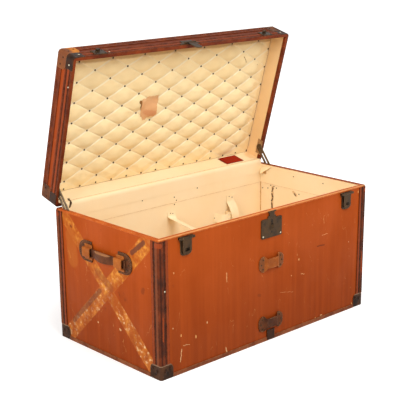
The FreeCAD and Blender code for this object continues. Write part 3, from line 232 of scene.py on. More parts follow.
# %% Modelling helpers
def pick(*pieces):
    """Selects these pieces alone, and makes the first one active."""
    bpy.ops.object.select_all(action="DESELECT")
    for piece in pieces:
        piece.select_set(True)
    bpy.context.view_layer.objects.active = pieces[0]


def fresh(adder, name, **values):
    """Adds a primitive with nothing else selected, and names it."""
    bpy.ops.object.select_all(action="DESELECT")
    adder(**values)
    piece = bpy.context.active_object
    piece.name = piece.data.name = name
    return piece


def draw_out(*move):
    """A step for edit mode: extrudes the chosen edges by a move."""
    return lambda: bpy.ops.mesh.extrude_edges_move(TRANSFORM_OT_translate={"value": move})


def cut_half(*way):
    """A step for edit mode: cuts at the middle and keeps what lies this way."""
    return lambda: bpy.ops.mesh.bisect(plane_co=(0, 0, 0), plane_no=way, clear_inner=True)


def everything(place):
    return True


def shape(piece, chosen, *steps):
    """Selects the points that pass a test, in edit mode, and runs the steps on them."""
    pick(piece)
    bpy.ops.object.mode_set(mode="EDIT")
    bpy.ops.mesh.select_mode(type="VERT")
    mesh = bmesh.from_edit_mesh(piece.data)
    for point in mesh.verts:
        point.select = chosen(point.co)
    mesh.select_flush(True)
    mesh.select_flush(False)
    bmesh.update_edit_mesh(piece.data)
    for step in steps:
        step()
    bpy.ops.object.mode_set(mode="OBJECT")


def finish_with(piece, kind, **settings):
    """Adds a modifier and applies it."""
    modifier = piece.modifiers.new(kind.lower(), kind)
    for key, value in settings.items():
        setattr(modifier, key, value)
    pick(piece)
    bpy.ops.object.modifier_apply(modifier=modifier.name)


def thicken(piece, thick):
    finish_with(piece, "SOLIDIFY", thickness=thick, offset=0.0)


def settle(piece, body, dress, angle=60, place=STILL):
    """Puts a piece's place in its mesh, gives it a finish, and lets it ride on a body."""
    pick(piece)
    bpy.ops.object.transform_apply(location=True, rotation=True, scale=True)
    piece.data.transform(place)
    bpy.ops.object.shade_smooth_by_angle(angle=math.radians(angle))
    piece.data.materials.clear()
    piece.data.materials.append(dress)
    if body:
        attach(piece, body)
    print(piece.name, "has", len(piece.data.polygons), "faces")


print("modelling helpers ready")

# %% [markdown]
# The floor is one large plane. Its paint is pale for all light, and for what the camera sees it gets a
# little glow of its own, weak beside the trunk and full further out, so the edge of the picture is white
# while the shadow under the trunk stays.

# %% The floor
def floor_finish():
    made = bpy.data.materials.new("pale_floor")
    lay_out(made)
    far = add("VectorMath", {"operation": "LENGTH"})
    put(far.inputs[0], here())
    glow = ease(far.outputs["Value"], 0.42, 0.85, 0.40, 1.0)
    seen = seen_by("Is Camera Ray", "Is Glossy Ray")
    paint = add("BsdfDiffuse", Color=(0.80, 0.79, 0.775, 1))
    light = add("Emission", Color=(1, 1, 1, 1), Strength=times(glow, seen))
    lit_paint = add("AddShader")
    put(lit_paint.inputs[0], paint.outputs[0])
    put(lit_paint.inputs[1], light.outputs[0])
    put(add("OutputMaterial").inputs["Surface"], lit_paint.outputs[0])
    return made


floor = fresh(bpy.ops.mesh.primitive_plane_add, "studio_floor", size=60)
shape(floor, everything, lambda: bpy.ops.mesh.subdivide(number_cuts=3))
settle(floor, None, floor_finish())

# %% [markdown]
# Most finishes share a few effects: stains, scratches, chips, weave, grain and worn edges. Each is a node
# group with named sockets, built once and placed in each finish with its own values. All read Object
# coordinates, which are metres here, so a scale of 100 means marks of about a centimetre.

# %% A group to hold an effect
def effect(name, inputs, outputs):
    """An empty node group with its sockets. Inputs are names with a default."""
    global bench
    made = bench = bpy.data.node_groups.new(name, "ShaderNodeTree")
    for key, value in inputs.items():
        kind = "NodeSocketVector" if isinstance(value, tuple) else "NodeSocketFloat"
        made.interface.new_socket(key, in_out="INPUT", socket_type=kind).default_value = value
    for key in outputs:
        kind = "NodeSocketVector" if key == "Normal" else "NodeSocketFloat"
        made.interface.new_socket(key, in_out="OUTPUT", socket_type=kind)
    return made, made.nodes.new("NodeGroupInput").outputs, made.nodes.new("NodeGroupOutput").inputs


def use(kind, **values):
    """Places an effect in a finish and gives its outputs."""
    return add("Group", {"node_tree": kind}, **values).outputs


print("effect helpers ready")

# %% [markdown]
# Old surfaces are never even. Stains are noise with soft limits. A scratch is the thin line where noise
# crosses its middle value, broken up by a second noise. Chips are a few cells of a random pattern with
# wavy rims. Images would show these marks too, but noise has no seams and suits every piece.

# %% Stains, scratches and chips
PLAIN = (1, 1, 1)
stains, given, out = effect("stains", {"Stretch": PLAIN, "Scale": 10.0, "Low": 0.45, "High": 0.7}, ["Mask"])
cloud = noisy(join("MULTIPLY", here(), given["Stretch"]), given["Scale"], 6.0, 0.62)
put(out["Mask"], ease(cloud, given["Low"], given["High"]))

scratches, given, out = effect("scratches", {"Stretch": PLAIN, "Scale": 10.0, "Width": 0.01, "Share": 0.55},
                               ["Mask"])
drawn = join("MULTIPLY", here(), given["Stretch"])
off_line = sum_up("ABSOLUTE", sum_up("SUBTRACT", noisy(drawn, given["Scale"]), 0.5))
thin = sum_up("SUBTRACT", 1.0, sum_up("DIVIDE", off_line, given["Width"]))
gaps = noisy(drawn, times(given["Scale"], 1.7))
broken = ease(gaps, given["Share"], sum_up("ADD", given["Share"], 0.06))
put(out["Mask"], times(sum_up("MAXIMUM", thin, 0.0), broken))

chips, given, out = effect("chips", {"Stretch": PLAIN, "Scale": 60.0, "Size": 0.2, "Share": 0.1}, ["Mask"])
laid = join("MULTIPLY", here(), given["Stretch"])
cells = add("TexVoronoi", Vector=laid, Scale=given["Scale"]).outputs
wavy = times(noisy(laid, times(given["Scale"], 3.0)), 0.25)
rim = sum_up("SUBTRACT", sum_up("ADD", cells["Distance"], wavy), 0.12)
lot = add("SeparateColor", Color=cells["Color"]).outputs[0]
few = sum_up("LESS_THAN", lot, given["Share"])
put(out["Mask"], times(sum_up("LESS_THAN", rim, given["Size"]), few))


def stain(scale, low, high, stretch=PLAIN):
    return use(stains, Stretch=stretch, Scale=scale, Low=low, High=high)["Mask"]


print("effects:", stains.name, scratches.name, chips.name)

# %% [markdown]
# Some marks have a place of their own: a scar on the front, a torn seam, a groove that holds dirt. Each is
# a stroke between two points in space. The effect measures how far a point is from that line, and noise
# shakes the place a little, so that no stroke is ruler-straight.

# %% A stroke between two points
NOWHERE = (0, 0, 0)
stroke, given, out = effect("stroke", {"Place": NOWHERE, "From": NOWHERE, "To": NOWHERE, "Reach": 0.002}, ["Mask"])
whole = join("SUBTRACT", given["To"], given["From"])
gone = join("SUBTRACT", given["Place"], given["From"])
part_way = sum_up("DIVIDE", join("DOT_PRODUCT", gone, whole),
                  join("DOT_PRODUCT", whole, whole))
part_way = sum_up("MINIMUM", sum_up("MAXIMUM", part_way, 0.0), 1.0)
off_stroke = join("DISTANCE", gone, join("SCALE", whole, part_way))
put(out["Mask"], ease(off_stroke, times(given["Reach"], 0.65), given["Reach"], 1.0, 0.0))


def marked(colour, marks, wobble):
    """Paints strokes. A mark has two ends and a reach in millimetres, a colour and how much it covers."""
    place = here()
    shaken = join("SUBTRACT", noisy(place, 140.0, 3.0, output="Color"), (0.5, 0.5, 0.5))
    place = join("ADD", place, join("SCALE", shaken, wobble))
    for first, second, reach, shade, cover in marks:
        first, second = [tuple(value * MM for value in end) for end in (first, second)]
        mask = use(stroke, Place=place, From=first, To=second, Reach=reach * MM)["Mask"]
        colour = wash(colour, mask, cover, shade)
    return colour


print("effect:", stroke.name)

# %% [markdown]
# Cloth has threads both ways, which are crossed waves. Leather and cast metal have a fine pebbled grain.
# Edges wear first: where a rounded normal and the real one differ, there is an edge, and it is rubbed in
# patches. These three give heights and masks that any finish can take up.

# %% Weave, grain and worn edges
weave, given, out = effect("weave", {"Scale": 900.0}, ["Height"])
threads = [add("TexWave", {"wave_type": "BANDS", "bands_direction": way}, Vector=here(),
               Scale=sum_up("DIVIDE", given["Scale"], 6.28), Distortion=0.6).outputs["Fac"] for way in "XYZ"]
put(out["Height"], sum_up("ADD", times(threads[0], threads[2]), threads[1]))

grain, given, out = effect("grain", {"Scale": 700.0}, ["Height", "Tone"])
pebbles = add("TexVoronoi", {"feature": "SMOOTH_F1"}, Vector=here(), Scale=given["Scale"])
soft = noisy(here(), sum_up("DIVIDE", given["Scale"], 6.0), 4.0)
put(out["Height"], sum_up("ADD", pebbles.outputs["Distance"], soft))
put(out["Tone"], ease(soft, 0.3, 0.7))

wear, given, out = effect("wear", {"Reach": 0.002, "Low": 0.02, "High": 0.3}, ["Mask", "Normal"])
rounded = add("Bevel", {"samples": 4}, Radius=given["Reach"]).outputs[0]
match = join("DOT_PRODUCT", rounded, add("NewGeometry").outputs["Normal"])
bare = ease(sum_up("SUBTRACT", 1.0, match), given["Low"], given["High"])
put(out["Mask"], times(bare, ease(noisy(here(), 90.0, 4.0), 0.36, 0.62)))
put(out["Normal"], rounded)
print("effects:", weave.name, grain.name, wear.name)

# %% [markdown]
# A finish is one Principled shader with its colour, roughness and bump fed by these effects. Numbers that
# are the same all over, such as the specular level, are written straight on the shader.

# %% A bare finish
def finish(name, **constants):
    """A material with only its shader and output. Constants go straight on the shader."""
    made = bpy.data.materials.new(name)
    lay_out(made)
    shader = add("BsdfPrincipled", **constants)
    put(add("OutputMaterial").inputs["Surface"], shader.outputs[0])
    return made, shader


def coat(shader, colour, roughness, height, depth, strength, base=None):
    """Feeds the shader. The height raises the surface, and base is a normal to start from."""
    put(shader.inputs["Base Color"], colour)
    put(shader.inputs["Roughness"], roughness)
    raised = add("Bump", Strength=strength, Distance=depth, Height=height)
    if base is not None:
        put(raised.inputs["Normal"], base)
    put(shader.inputs["Normal"], raised.outputs[0])


print("finish helpers ready")

# %% [markdown]
# Both ends of the trunk carry the owner's mark of old luggage: two crossed bands of paint. A picture could
# be laid there, but a band is only a distance from a line, made ragged by noise. The paint has flaked all
# over, and low down it is rubbed paler.

# %% Painted bands on the ends
RAGGED, BLUR, END_DEPTH = 0.010, 0.002, 1.5


def band_mask(place, first, second, width):
    """1 on a straight band between two points of the end, given as (y, z) in millimetres."""
    (y0, z0), (y1, z1) = [(y * MM, z * MM) for y, z in (first, second)]
    length = math.hypot(y1 - y0, z1 - z0)
    part = add("SeparateXYZ", Vector=place).outputs
    side = times(sum_up("SUBTRACT", part["Y"], y0), (z1 - z0) / length)
    rise = times(sum_up("SUBTRACT", part["Z"], z0), (y1 - y0) / length)
    off_band = sum_up("ABSOLUTE", sum_up("SUBTRACT", side, rise))
    off_band = sum_up("ADD", off_band, times(noisy(place, 60.0, 5.0), RAGGED))
    half = width * MM / 2 + RAGGED / 2
    on_end = sum_up("GREATER_THAN", sum_up("ABSOLUTE", part["X"]), (HALF_LENGTH - END_DEPTH) * MM)
    return times(ease(off_band, half - BLUR, half + BLUR, 1.0, 0.0), on_end)


def painted_bands(colour, place, height):
    paint = sum_up("MAXIMUM", band_mask(place, (205, 410), (-205, 26), 46),
                   band_mask(place, (-189, 404), (192, 26), 50))
    low_down = ease(height, 0.10, 0.32, 0.9, 0.08)
    old_paint = tint(stain(60.0, 0.42, 0.62), (188, 98, 28), (222, 146, 54))
    old_paint = wash(old_paint, low_down, 0.6, (182, 100, 46))
    old_paint = wash(old_paint, stain(85.0, 0.54, 0.66), low_down, (238, 204, 152))
    flaked = times(stain(19.0, 0.38, 0.58), 0.72)
    return wash(colour, paint, sum_up("SUBTRACT", 1.0, flaked), old_paint)


print("bands ready")

# %% [markdown]
# The outside is coated canvas, orange-brown, lighter near the rim and darker near the ground. It has faint
# upright streaks, rubbed stains, hair-thin scratches and a few chips where the pale ground shows. The
# larger scars of the front and of the left end are strokes at their own places.

# %% Canvas finishes
def canvas_finish(name, low, high, marks, tall, banded):
    made, shader = finish(name, Specular_IOR_Level=0.07)
    place = here()
    height = add("SeparateXYZ", Vector=place).outputs["Z"]
    colour = tint(ease(height, 0.0, tall), low, high)
    cloudy = stain(5.0, 0.3, 0.75)
    colour = wash(colour, cloudy, 0.35, (134, 50, 13))
    colour = wash(colour, stain(1.0, 0.35, 0.8, (55, 55, 2.2)), 0.35, (190, 84, 26))
    colour = wash(colour, stain(16.0, 0.64, 0.76), 0.55, (88, 40, 16))
    if banded:
        colour = painted_bands(colour, place, height)
    colour = marked(colour, marks, 0.006)
    hair = use(scratches, Stretch=(9, 9, 3), Scale=3.0, Width=0.004, Share=0.56)["Mask"]
    nicks = use(chips, Stretch=(1, 1, 0.5), Scale=70.0, Size=0.16, Share=0.02)["Mask"]
    pale = sum_up("MAXIMUM", times(hair, 0.5), nicks)
    colour = wash(colour, pale, 0.75, (232, 176, 104))
    coat(shader, colour, ease(cloudy, 0.0, 1.0, 0.42, 0.62), use(weave, Scale=1100.0)["Height"], 0.00025, 0.35)
    return made


PALE, CREAM, SOOT, PLUM = (240, 184, 120), (236, 200, 142), (92, 42, 20), (104, 56, 38)
FRONT_SCARS = [  # x, z to x, z
    (-189, 264, -188, 236, 2.0, PALE, 0.5), (215, 258, 250, 255, 2.6, SOOT, 0.7), (95, 189, 96, 188, 2.6, PALE, 0.6),
    (140, 182, 155, 180, 1.6, PALE, 0.5), (373, 240, 374, 239, 1.8, CREAM, 0.7), (240, 17, 246, 15, 2.2, CREAM, 0.6),
    (-396, 314, -395, 312, 1.8, PALE, 0.7), (-402, 149, -402, 147, 1.9, CREAM, 0.7),
    (-269, 132, -268, 129, 1.9, CREAM, 0.7), (-370, 75, -376, 37, 1.5, CREAM, 0.8),
    (-365, 85, -339, 81, 1.1, CREAM, 0.6), (-193, 28, -188, 12, 2.2, CREAM, 0.65),
    (-53, 159, -46, 157, 6.0, SOOT, 0.35), (45, 144, 104, 132, 1.0, PALE, 0.3), (238, 290, 265, 291, 1.3, PALE, 0.5)]
LEFT_SCARS = [  # y, z to y, z
    (-170, 259, -166, 250, 8.0, SOOT, 0.4), (167, 377, 166, 375, 4.0, SOOT, 0.8), (49, 100, 48, 99, 3.0, CREAM, 0.7),
    (-56, 107, -60, 105, 3.6, CREAM, 0.6), (171, 345, 163, 272, 30.0, (184, 98, 34), 0.55),
    (184, 296, 176, 276, 3.0, (204, 128, 54), 0.4), (42, 262, -20, 226, 15.0, (140, 70, 30), 0.55),
    (-122, 358, -176, 400, 9.0, PLUM, 0.85), (172, 72, 34, 204, 9.5, PLUM, 0.62)]
SCARS = [((x, -HALF_DEPTH, z), (u, -HALF_DEPTH, w), *rest) for x, z, u, w, *rest in FRONT_SCARS]
SCARS += [((-HALF_LENGTH, y, z), (-HALF_LENGTH, v, w), *rest) for y, z, v, w, *rest in LEFT_SCARS]
# Painted shade: the lid's front face and its left end are darkened, as less light falls on them.
LID_PAINTED_SHADE = [(opened(-450, -240, 458), opened(450, -240, 458), 42.0, (112, 50, 27), 1.0),
              (opened(-450, -236, 458), opened(-450, 240, 458), 42.0, (150, 64, 28), 0.75)]
FINISH = {
    "body_canvas": canvas_finish("body_canvas_coat", (138, 57, 13), (175, 75, 16), SCARS, tall=0.42, banded=True),
    "lid_canvas": canvas_finish("lid_canvas_coat", (166, 68, 18), (188, 82, 22), LID_PAINTED_SHADE, tall=0.9, banded=False)}
print("canvas finishes:", ", ".join(FINISH), "with", len(SCARS), "marks")

# %% [markdown]
# Inside, the trunk is lined with cream cloth that has gone golden in places. Cloth needs little more than
# a soft weave, crumples and uneven colour. The quilt uses the same cloth, with a painted highlight along its
# sewn lines that is stronger on the lines running one way, so the finish works out where they run from the
# pad's size and its count of diamonds.

# %% Cloth finishes
REACH_X, REACH_Y, CELLS = 441.2 * MM, 231.2 * MM, 14
closing, SEAM_HIGHLIGHTS = OPENED.inverted()[1], []
# Painted highlight along the sewn lines: stronger on one set, as light from one side falls on the domes.
for sign, cover in ((1, 0.75), (-1, 0.3)):
    way = CELLS / 4 * (Vector((1 / REACH_X, 0, 0)) + sign * closing.to_3d() / REACH_Y)
    SEAM_HIGHLIGHTS.append((tuple(way), CELLS / 4 * (1 + sign * (1 + closing[3] / REACH_Y)), cover))


def cloth_finish(name, pale, golden, share, spots=0.25, marks=(), seam_highlight_lines=()):
    made, shader = finish(name, Specular_IOR_Level=0.08)
    colour = tint(times(stain(4.0, 0.35, 0.72), share), pale, golden)
    colour = wash(colour, stain(30.0, 0.68, 0.8), spots, (190, 140, 70))
    # Painted highlight along the quilt's sewn lines.
    for way, start, cover in seam_highlight_lines:
        phase = sum_up("ADD", join("DOT_PRODUCT", here(), way), start)
        near = ease(sum_up("PINGPONG", phase, 0.5), 0.01, 0.08, cover, 0.0)
        colour = tint(near, colour, (254, 241, 212))
    crumple = times(stain(26.0, 0.2, 0.8, (1, 1, 0.6)), 4.0)
    height = sum_up("ADD", crumple, use(weave, Scale=1500.0)["Height"])
    coat(shader, marked(colour, marks, 0.004), 0.9, height, 0.00035, 0.4)
    return made


FINISH["tape"] = cloth_finish("tape_webbing", (252, 230, 190), (242, 200, 132), 0.7)
FINISH["old_thread"] = cloth_finish("old_thread", (148, 108, 68), (112, 76, 44), 0.8)
print("cloth ready, with", len(SEAM_HIGHLIGHTS), "sets of sewn lines")

# %% [markdown]
# The lining has painted shade along the crease of the hinge cloth, the lower edge of its band, the back
# right corner and under the loose flap, a slit by the left stay painted dark as the shadow in it, a painted
# warm reflection on the lid's right wall, and tears that show the board behind. The quilt has a painted
# shadow along its front edge, under the lid's front wall, and two loose threads. The paper label has a
# darker border, and the sticker has lost its surface along one side.

# %% Marks and painted shade on the lining, the quilt and the papers
SHADE_AND_STAIN, DARK_TEAR_AND_SHADOW, THREAD = (196, 138, 66), (62, 40, 24), (150, 100, 44)
LINING_MARKS_AND_SHADE = [
    # Painted shade along the crease of the hinge cloth, the lower edge of the lining band and the back right corner.
    (opened(-437, 229.8, 421), opened(437, 229.8, 421), 2.0, SHADE_AND_STAIN, 0.75),
    ((-437, 226.5, 350), (437, 226.5, 350), 1.2, SHADE_AND_STAIN, 0.5), ((436.5, -226, 350), (436.5, 226, 350), 1.2, SHADE_AND_STAIN, 0.5),
    ((437, 227, 405), (437, 227, 380), 2.6, SHADE_AND_STAIN, 0.8), ((437, 227, 352), (437, 227, 245), 2.2, SHADE_AND_STAIN, 0.8),
    # Two tears, with a golden stain round them.
    ((436.5, 168, 340), (437, 170, 262), 6.5, SHADE_AND_STAIN, 0.55), ((436.5, 166, 338), (437, 171, 325), 3.6, DARK_TEAR_AND_SHADOW, 0.85),
    ((437, 171, 315), (437, 167, 306), 4.6, DARK_TEAR_AND_SHADOW, 0.85), ((437, 167, 299), (437, 173, 289), 3.6, DARK_TEAR_AND_SHADOW, 0.85),
    ((437, 172, 280), (437, 169, 265), 4.4, DARK_TEAR_AND_SHADOW, 0.85), ((436.5, 68, 341), (437, 54, 331), 6.0, SHADE_AND_STAIN, 0.5),
    ((436.5, 62, 335), (437, 58, 330), 3.4, DARK_TEAR_AND_SHADOW, 0.8),
    # Painted warm reflected light on the lining of the lid's right wall.
    (opened(441.9, -228, 452), opened(441.9, 228, 452), 40.0, (238, 184, 112), 0.5),
    # Painted shadow under the loose flap, and a slit by the left stay painted dark as the shadow in it.
    ((436.5, 223, 397), (436.5, 205, 388), 7.0, SHADE_AND_STAIN, 0.8), ((-410, 225.8, 418), (-403, 227.6, 430), 4.6, DARK_TEAR_AND_SHADOW, 0.95),
    ((-403, 227.6, 430), opened(-395, 229.8, 432), 4.6, DARK_TEAR_AND_SHADOW, 0.95)]
# Painted shadow of the lid's front wall along the front edge of the quilt, then two loose threads.
QUILT_SHADOW_AND_THREADS = [(opened(-436, -212, 484), opened(436, -212, 484), 24.0, (168, 116, 58), 0.65),
               (opened(312.5, -154.4, 478), opened(337, -121, 478), 2.0, THREAD, 0.8),
               (opened(390.6, -114, 478), opened(414.4, -100.5, 478), 2.0, THREAD, 0.8)]
LABEL_CORNERS = [(286, 428), (370, 428), (370, 478), (286, 478)]
LABEL_BORDER = [(opened(x, 229.4, z), opened(u, 229.4, w), 3.4, (104, 20, 8), 0.7)
                for (x, z), (u, w) in zip(LABEL_CORNERS, LABEL_CORNERS[1:] + LABEL_CORNERS[:1])]
STICKER_MARKS = [(opened(-126, -56, 470), opened(-117, 24, 470), 15.0, (130, 84, 36), 0.9),
                 (opened(-100, -42, 474), opened(-58, -46, 474), 11.0, (240, 196, 148), 0.6),
                 (opened(-92, 0, 474), opened(-56, 8, 474), 13.0, (214, 136, 88), 0.5)]
FINISH["lining"] = cloth_finish("cream_lining", (251, 227, 186), (248, 215, 163), 0.6, marks=LINING_MARKS_AND_SHADE)
FINISH["quilt"] = cloth_finish("quilt_cloth", (253, 229, 178), (248, 215, 154), 0.5, marks=QUILT_SHADOW_AND_THREADS,
                               seam_highlight_lines=SEAM_HIGHLIGHTS)
FINISH["red_paper"] = cloth_finish("red_paper", (156, 40, 15), (128, 24, 8), 0.8, 0.45, LABEL_BORDER)
FINISH["old_paper"] = cloth_finish("old_paper", (236, 186, 134), (220, 156, 104), 1.0, 0.6, STICKER_MARKS)
print("lining marks:", len(LINING_MARKS_AND_SHADE))

# %% [markdown]
# The trims are hard red-brown fibre, moulded with ridges. Their raised edges are rubbed to a lighter
# brown, and the grooves are painted dark. The rim binding is the same idea in brighter orange leather, and so
# are the grips and strap keepers in tan and dark leather.

# %% Lines along the trims and the leather
GROOVE, RIDGE, WORN = (46, 18, 8), (156, 66, 26), (134, 72, 40)
DARKER_RIM_ORANGE, CAP_RIM, CAP_DENT = (128, 58, 26), (150, 118, 92), (30, 19, 12)
POST_FOOT, POST_HEAD, CAP_TOP = 45, 415, 44
LID_LINES, POST_LINES, CAP_MARKS = [], [], []
for side in (-1, 1):
    for z, reach, shade in ((429.2, 3.2, GROOVE), (444.8, 3.2, GROOVE), (437, 5.0, RIDGE)):
        LID_LINES += [(opened(-452, side * 242, z), opened(452, side * 242, z), reach, shade, 0.5),
                      (opened(side * 452, -242, z), opened(side * 452, 242, z), reach, shade, 0.7)]
for sx, sy in SIGNS:
    for inset, reach, shade in ((18, 3.4, GROOVE), (26.5, 4.2, RIDGE)):
        x, y = sx * (HALF_LENGTH - inset), sy * (HALF_DEPTH - inset)
        POST_LINES += [((x, sy * 242, POST_FOOT), (x, sy * 242, POST_HEAD), reach, shade, 0.65),
                       ((sx * 452, y, POST_FOOT), (sx * 452, y, POST_HEAD), reach, shade, 0.65)]
    x, y = sx * 446.5, sy * 231
    POST_LINES += [((x, sy * 243, POST_FOOT), (x, sy * 243, POST_HEAD), 3.4, GROOVE, 0.75),
                   ((sx * 453, y, POST_FOOT), (sx * 453, y, POST_HEAD), 5.0, WORN, 0.6),
                   ((x - sx * 5, sy * 243, 120), (x - sx * 6, sy * 243, 190), 3.0, RIDGE, 0.8),
                   ((x, sy * 242, 404), (sx * 452, y, 404), 9.0, RIDGE, 0.8)]
    CAP_MARKS += [((sx * 450, sy * 242, CAP_TOP), (sx * 408, sy * 242, CAP_TOP), 3.2, CAP_RIM, 0.75),
                  ((sx * 452, sy * 240, CAP_TOP), (sx * 452, sy * 198, CAP_TOP), 3.2, CAP_RIM, 0.75),
                  ((sx * 434, sy * 242, 30), (sx * 424, sy * 242, 12), 5.0, CAP_DENT, 0.7),
                  ((sx * 452, sy * 226, 28), (sx * 452, sy * 218, 14), 5.0, CAP_DENT, 0.7)]
# The right and back rims are painted darker, and the front rim's top edge gets a painted highlight that is also
# wear.
RIM_TONES_AND_HIGHLIGHT = [((446, -238, 421), (446, 238, 421), 13.0, DARKER_RIM_ORANGE, 0.8),
            ((-446, 237, 421), (446, 237, 421), 13.0, DARKER_RIM_ORANGE, 0.8),
            ((-446, -239, 421.5), (446, -239, 421.5), 5.0, (236, 176, 112), 0.5)]
# Painted shade on the left face of the lid's front left cap.
CAP_LEFT_SHADE = [(opened(-454, -238, 470), opened(-454, -196, 470), 34.0, (108, 62, 42), 0.8)]
# Painted highlight along the top of each grip.
GRIP_TOP_HIGHLIGHTS = [((sx * 468, -62, 333), (sx * 468, 62, 333), 7.0, (172, 118, 76), 0.7) for sx in (-1, 1)]
KEEPER_ENDS = [((sx * 46, -244, 236), (sx * 46, -244, 274), 17.0, (112, 66, 38), 0.75) for sx in (-1, 1)]
print("lines:", len(LID_LINES), "on the lid,", len(POST_LINES), "on the posts,", len(CAP_MARKS), "on the base caps")

# %% [markdown]
# One function makes all of these finishes, because fibre and leather age alike: a cloudy ground, the
# lines above, rubbed edges and hair scratches over a grain. A table then gives each finish its name, its
# deep, light and rubbed colours, how far the edges are rubbed, and its marks.

# %% Fibre and leather finishes
def hide_finish(name, deep, light, rubbed, edge=0.6, marks=(), grain_scale=700.0, reach=0.0025):
    made, shader = finish(name, Specular_IOR_Level=0.12)
    grains = use(grain, Scale=grain_scale)
    colour = marked(tint(stain(22.0, 0.3, 0.72), deep, light), marks, 0.004)
    worn = use(wear, Reach=reach, Low=0.03, High=0.35)
    colour = wash(colour, worn["Mask"], edge, rubbed)
    hair = use(scratches, Stretch=(5, 5, 5), Scale=8.0, Width=0.006, Share=0.55)["Mask"]
    colour = wash(colour, hair, 0.35, rubbed)
    coat(shader, colour, ease(grains["Tone"], 0.0, 1.0, 0.5, 0.7), grains["Height"], 0.0003, 0.5, worn["Normal"])
    return made


HIDES = {
    "edging": ("orange_binding", (182, 78, 20), (204, 98, 32), (240, 172, 104), 0.8, RIM_TONES_AND_HIGHLIGHT),
    "body_trim": ("dark_fibre", (60, 27, 12), (116, 50, 20), (172, 92, 46), 0.6, POST_LINES),
    "lid_trim": ("red_fibre", (84, 33, 14), (126, 56, 25), (172, 98, 54), 0.6, LID_LINES),
    "lid_binding": ("lid_binding", (90, 33, 12), (140, 60, 23), (176, 94, 44)),
    "base_trim": ("base_trim", (104, 50, 26), (146, 84, 48), (196, 142, 96), 0.8),
    "tan_leather": ("tan_leather", (146, 74, 26), (186, 106, 42), (222, 164, 98)),
    "golden_leather": ("golden_leather", (150, 80, 30), (208, 126, 46), (228, 172, 104), 0.7, CAP_LEFT_SHADE),
    "dark_leather": ("dark_leather", (62, 32, 17), (104, 58, 32), (186, 146, 104), 0.9, GRIP_TOP_HIGHLIGHTS),
    "keeper_leather": ("keeper_leather", (136, 68, 24), (170, 92, 37), (212, 162, 108), 0.9, KEEPER_ENDS),
    "base_cap": ("painted_base_cap", (34, 21, 12), (88, 55, 34), (150, 108, 76), 0.9, CAP_MARKS, 300.0, 0.004),
    "lid_cap": ("painted_lid_cap", (64, 36, 21), (126, 74, 44), (170, 122, 86), 0.9, (), 300.0, 0.004)}
for key, values in HIDES.items():
    FINISH[key] = hide_finish(*values)
print("fibre and leather finishes:", ", ".join(HIDES))

# %% [markdown]
# The fittings are dark patinated metal. Where hands and straps rub, at the edges, the patina is gone and
# brighter metal shows. The stays are plain grey steel. The boards inside show only in section, so plain
# wood with its lines is enough for them.

# %% Metal and wood finishes
def metal_finish(name, dark, light, rubbed, gloss=0.38, shine=0.75, marks=()):
    made, shader = finish(name, Specular_IOR_Level=0.25, Metallic=shine)
    cloudy = stain(60.0, 0.3, 0.72)
    colour = tint(cloudy, dark, light)
    colour = wash(colour, stain(110.0, 0.6, 0.74), 0.4, (110, 64, 36))
    colour = marked(colour, marks, 0.001)
    worn = use(wear, Reach=0.0016, Low=0.03, High=0.3)
    colour = wash(colour, worn["Mask"], 0.75, rubbed)
    pebbled = use(grain, Scale=900.0)["Height"]
    coat(shader, colour, ease(cloudy, 0.0, 1.0, gloss, gloss + 0.25), pebbled, 0.00015, 0.4, worn["Normal"])
    return made


def board_finish():
    made, shader = finish("plain_board")
    lines = stain(1.4, 0.3, 0.7, (3, 60, 60))
    coat(shader, tint(lines, (150, 108, 66), (186, 144, 96)), 0.75, lines, 0.0004, 0.3)
    return made


DARK = (10, 8, 6)
KEYHOLE = [((0, -243, 391), (0, -243, 374), 2.8, DARK, 0.95), ((0, -243, 354), (0, -243, 351), 2.4, DARK, 0.9)]
METALS = {
    "bronze": ("patinated_bronze", (46, 33, 20), (80, 58, 36), (160, 126, 84), 0.38, 0.75, KEYHOLE),
    "dark_metal": ("blackened_bronze", (40, 24, 15), (70, 42, 27), (150, 112, 80), 0.42),
    "steel": ("grey_steel", (78, 62, 45), (124, 104, 80), (190, 172, 146), 0.34, 0.85),
    "dull_brass": ("dull_brass", (54, 38, 18), (88, 64, 32), (146, 112, 62), 0.5, 0.3),
    "bright_nail": ("bright_nail", (176, 164, 136), (216, 206, 180), (236, 230, 214), 0.25)}
for key, values in METALS.items():
    FINISH[key] = metal_finish(*values)
FINISH["board"] = board_finish()
print("finishes:", len(FINISH))

# %% [markdown]
# Every node of the frame names a material slot in its record. The loop below puts our finish there. Some
# nodes have aged in their own way and get a finish of their own: the caps have lost paint, and the front
# left cap of the lid is golden leather.

# %% Dress the solid nodes
OWN_FINISH = {"lid_edging": "lid_binding", "lid_front_left_cap": "golden_leather",
              "upper_strap_keeper": "keeper_leather", "base_edge_trims": "base_trim", "base_corner_caps": "base_cap",
              "lid_front_right_cap": "lid_cap", "lid_back_left_cap": "lid_cap", "lid_back_right_cap": "lid_cap"}
slots = {part["node"]: part["material_slot"] for part in frame["record"]["subparts"]}
for name, node in frame["nodes"].items():
    node.data.materials.clear()
    node.data.materials.append(FINISH[OWN_FINISH.get(name, slots[name])])
print("dressed", len(slots), "nodes from", len(set(slots.values())), "slots")

# %% [markdown]
# The lid is lined with a quilted pad: cloth over wadding, sewn along crossing lines and nailed at each
# crossing. It could be carved from a solid, but real quilting gets its shape from cloth that is held at
# the seams and pushed out between them. So a grid is pinned along the seams and blown up by a cloth
# simulation, with a cap on how far a point may go.

# %% The quilt's flat grid
STEPS, SEAM_Z, BACK_Z = 6, 485 * MM, 486.9 * MM


def grid_place(place):
    """The point's whole steps along the length and the depth of the pad."""
    return [round((value / reach + 1) / 2 * CELLS * STEPS) for value, reach in zip(place, (REACH_X, REACH_Y))]


def on_seam(place):
    along, across = grid_place(place)
    return (along + across) % (2 * STEPS) == 0 or (along - across) % (2 * STEPS) == 0


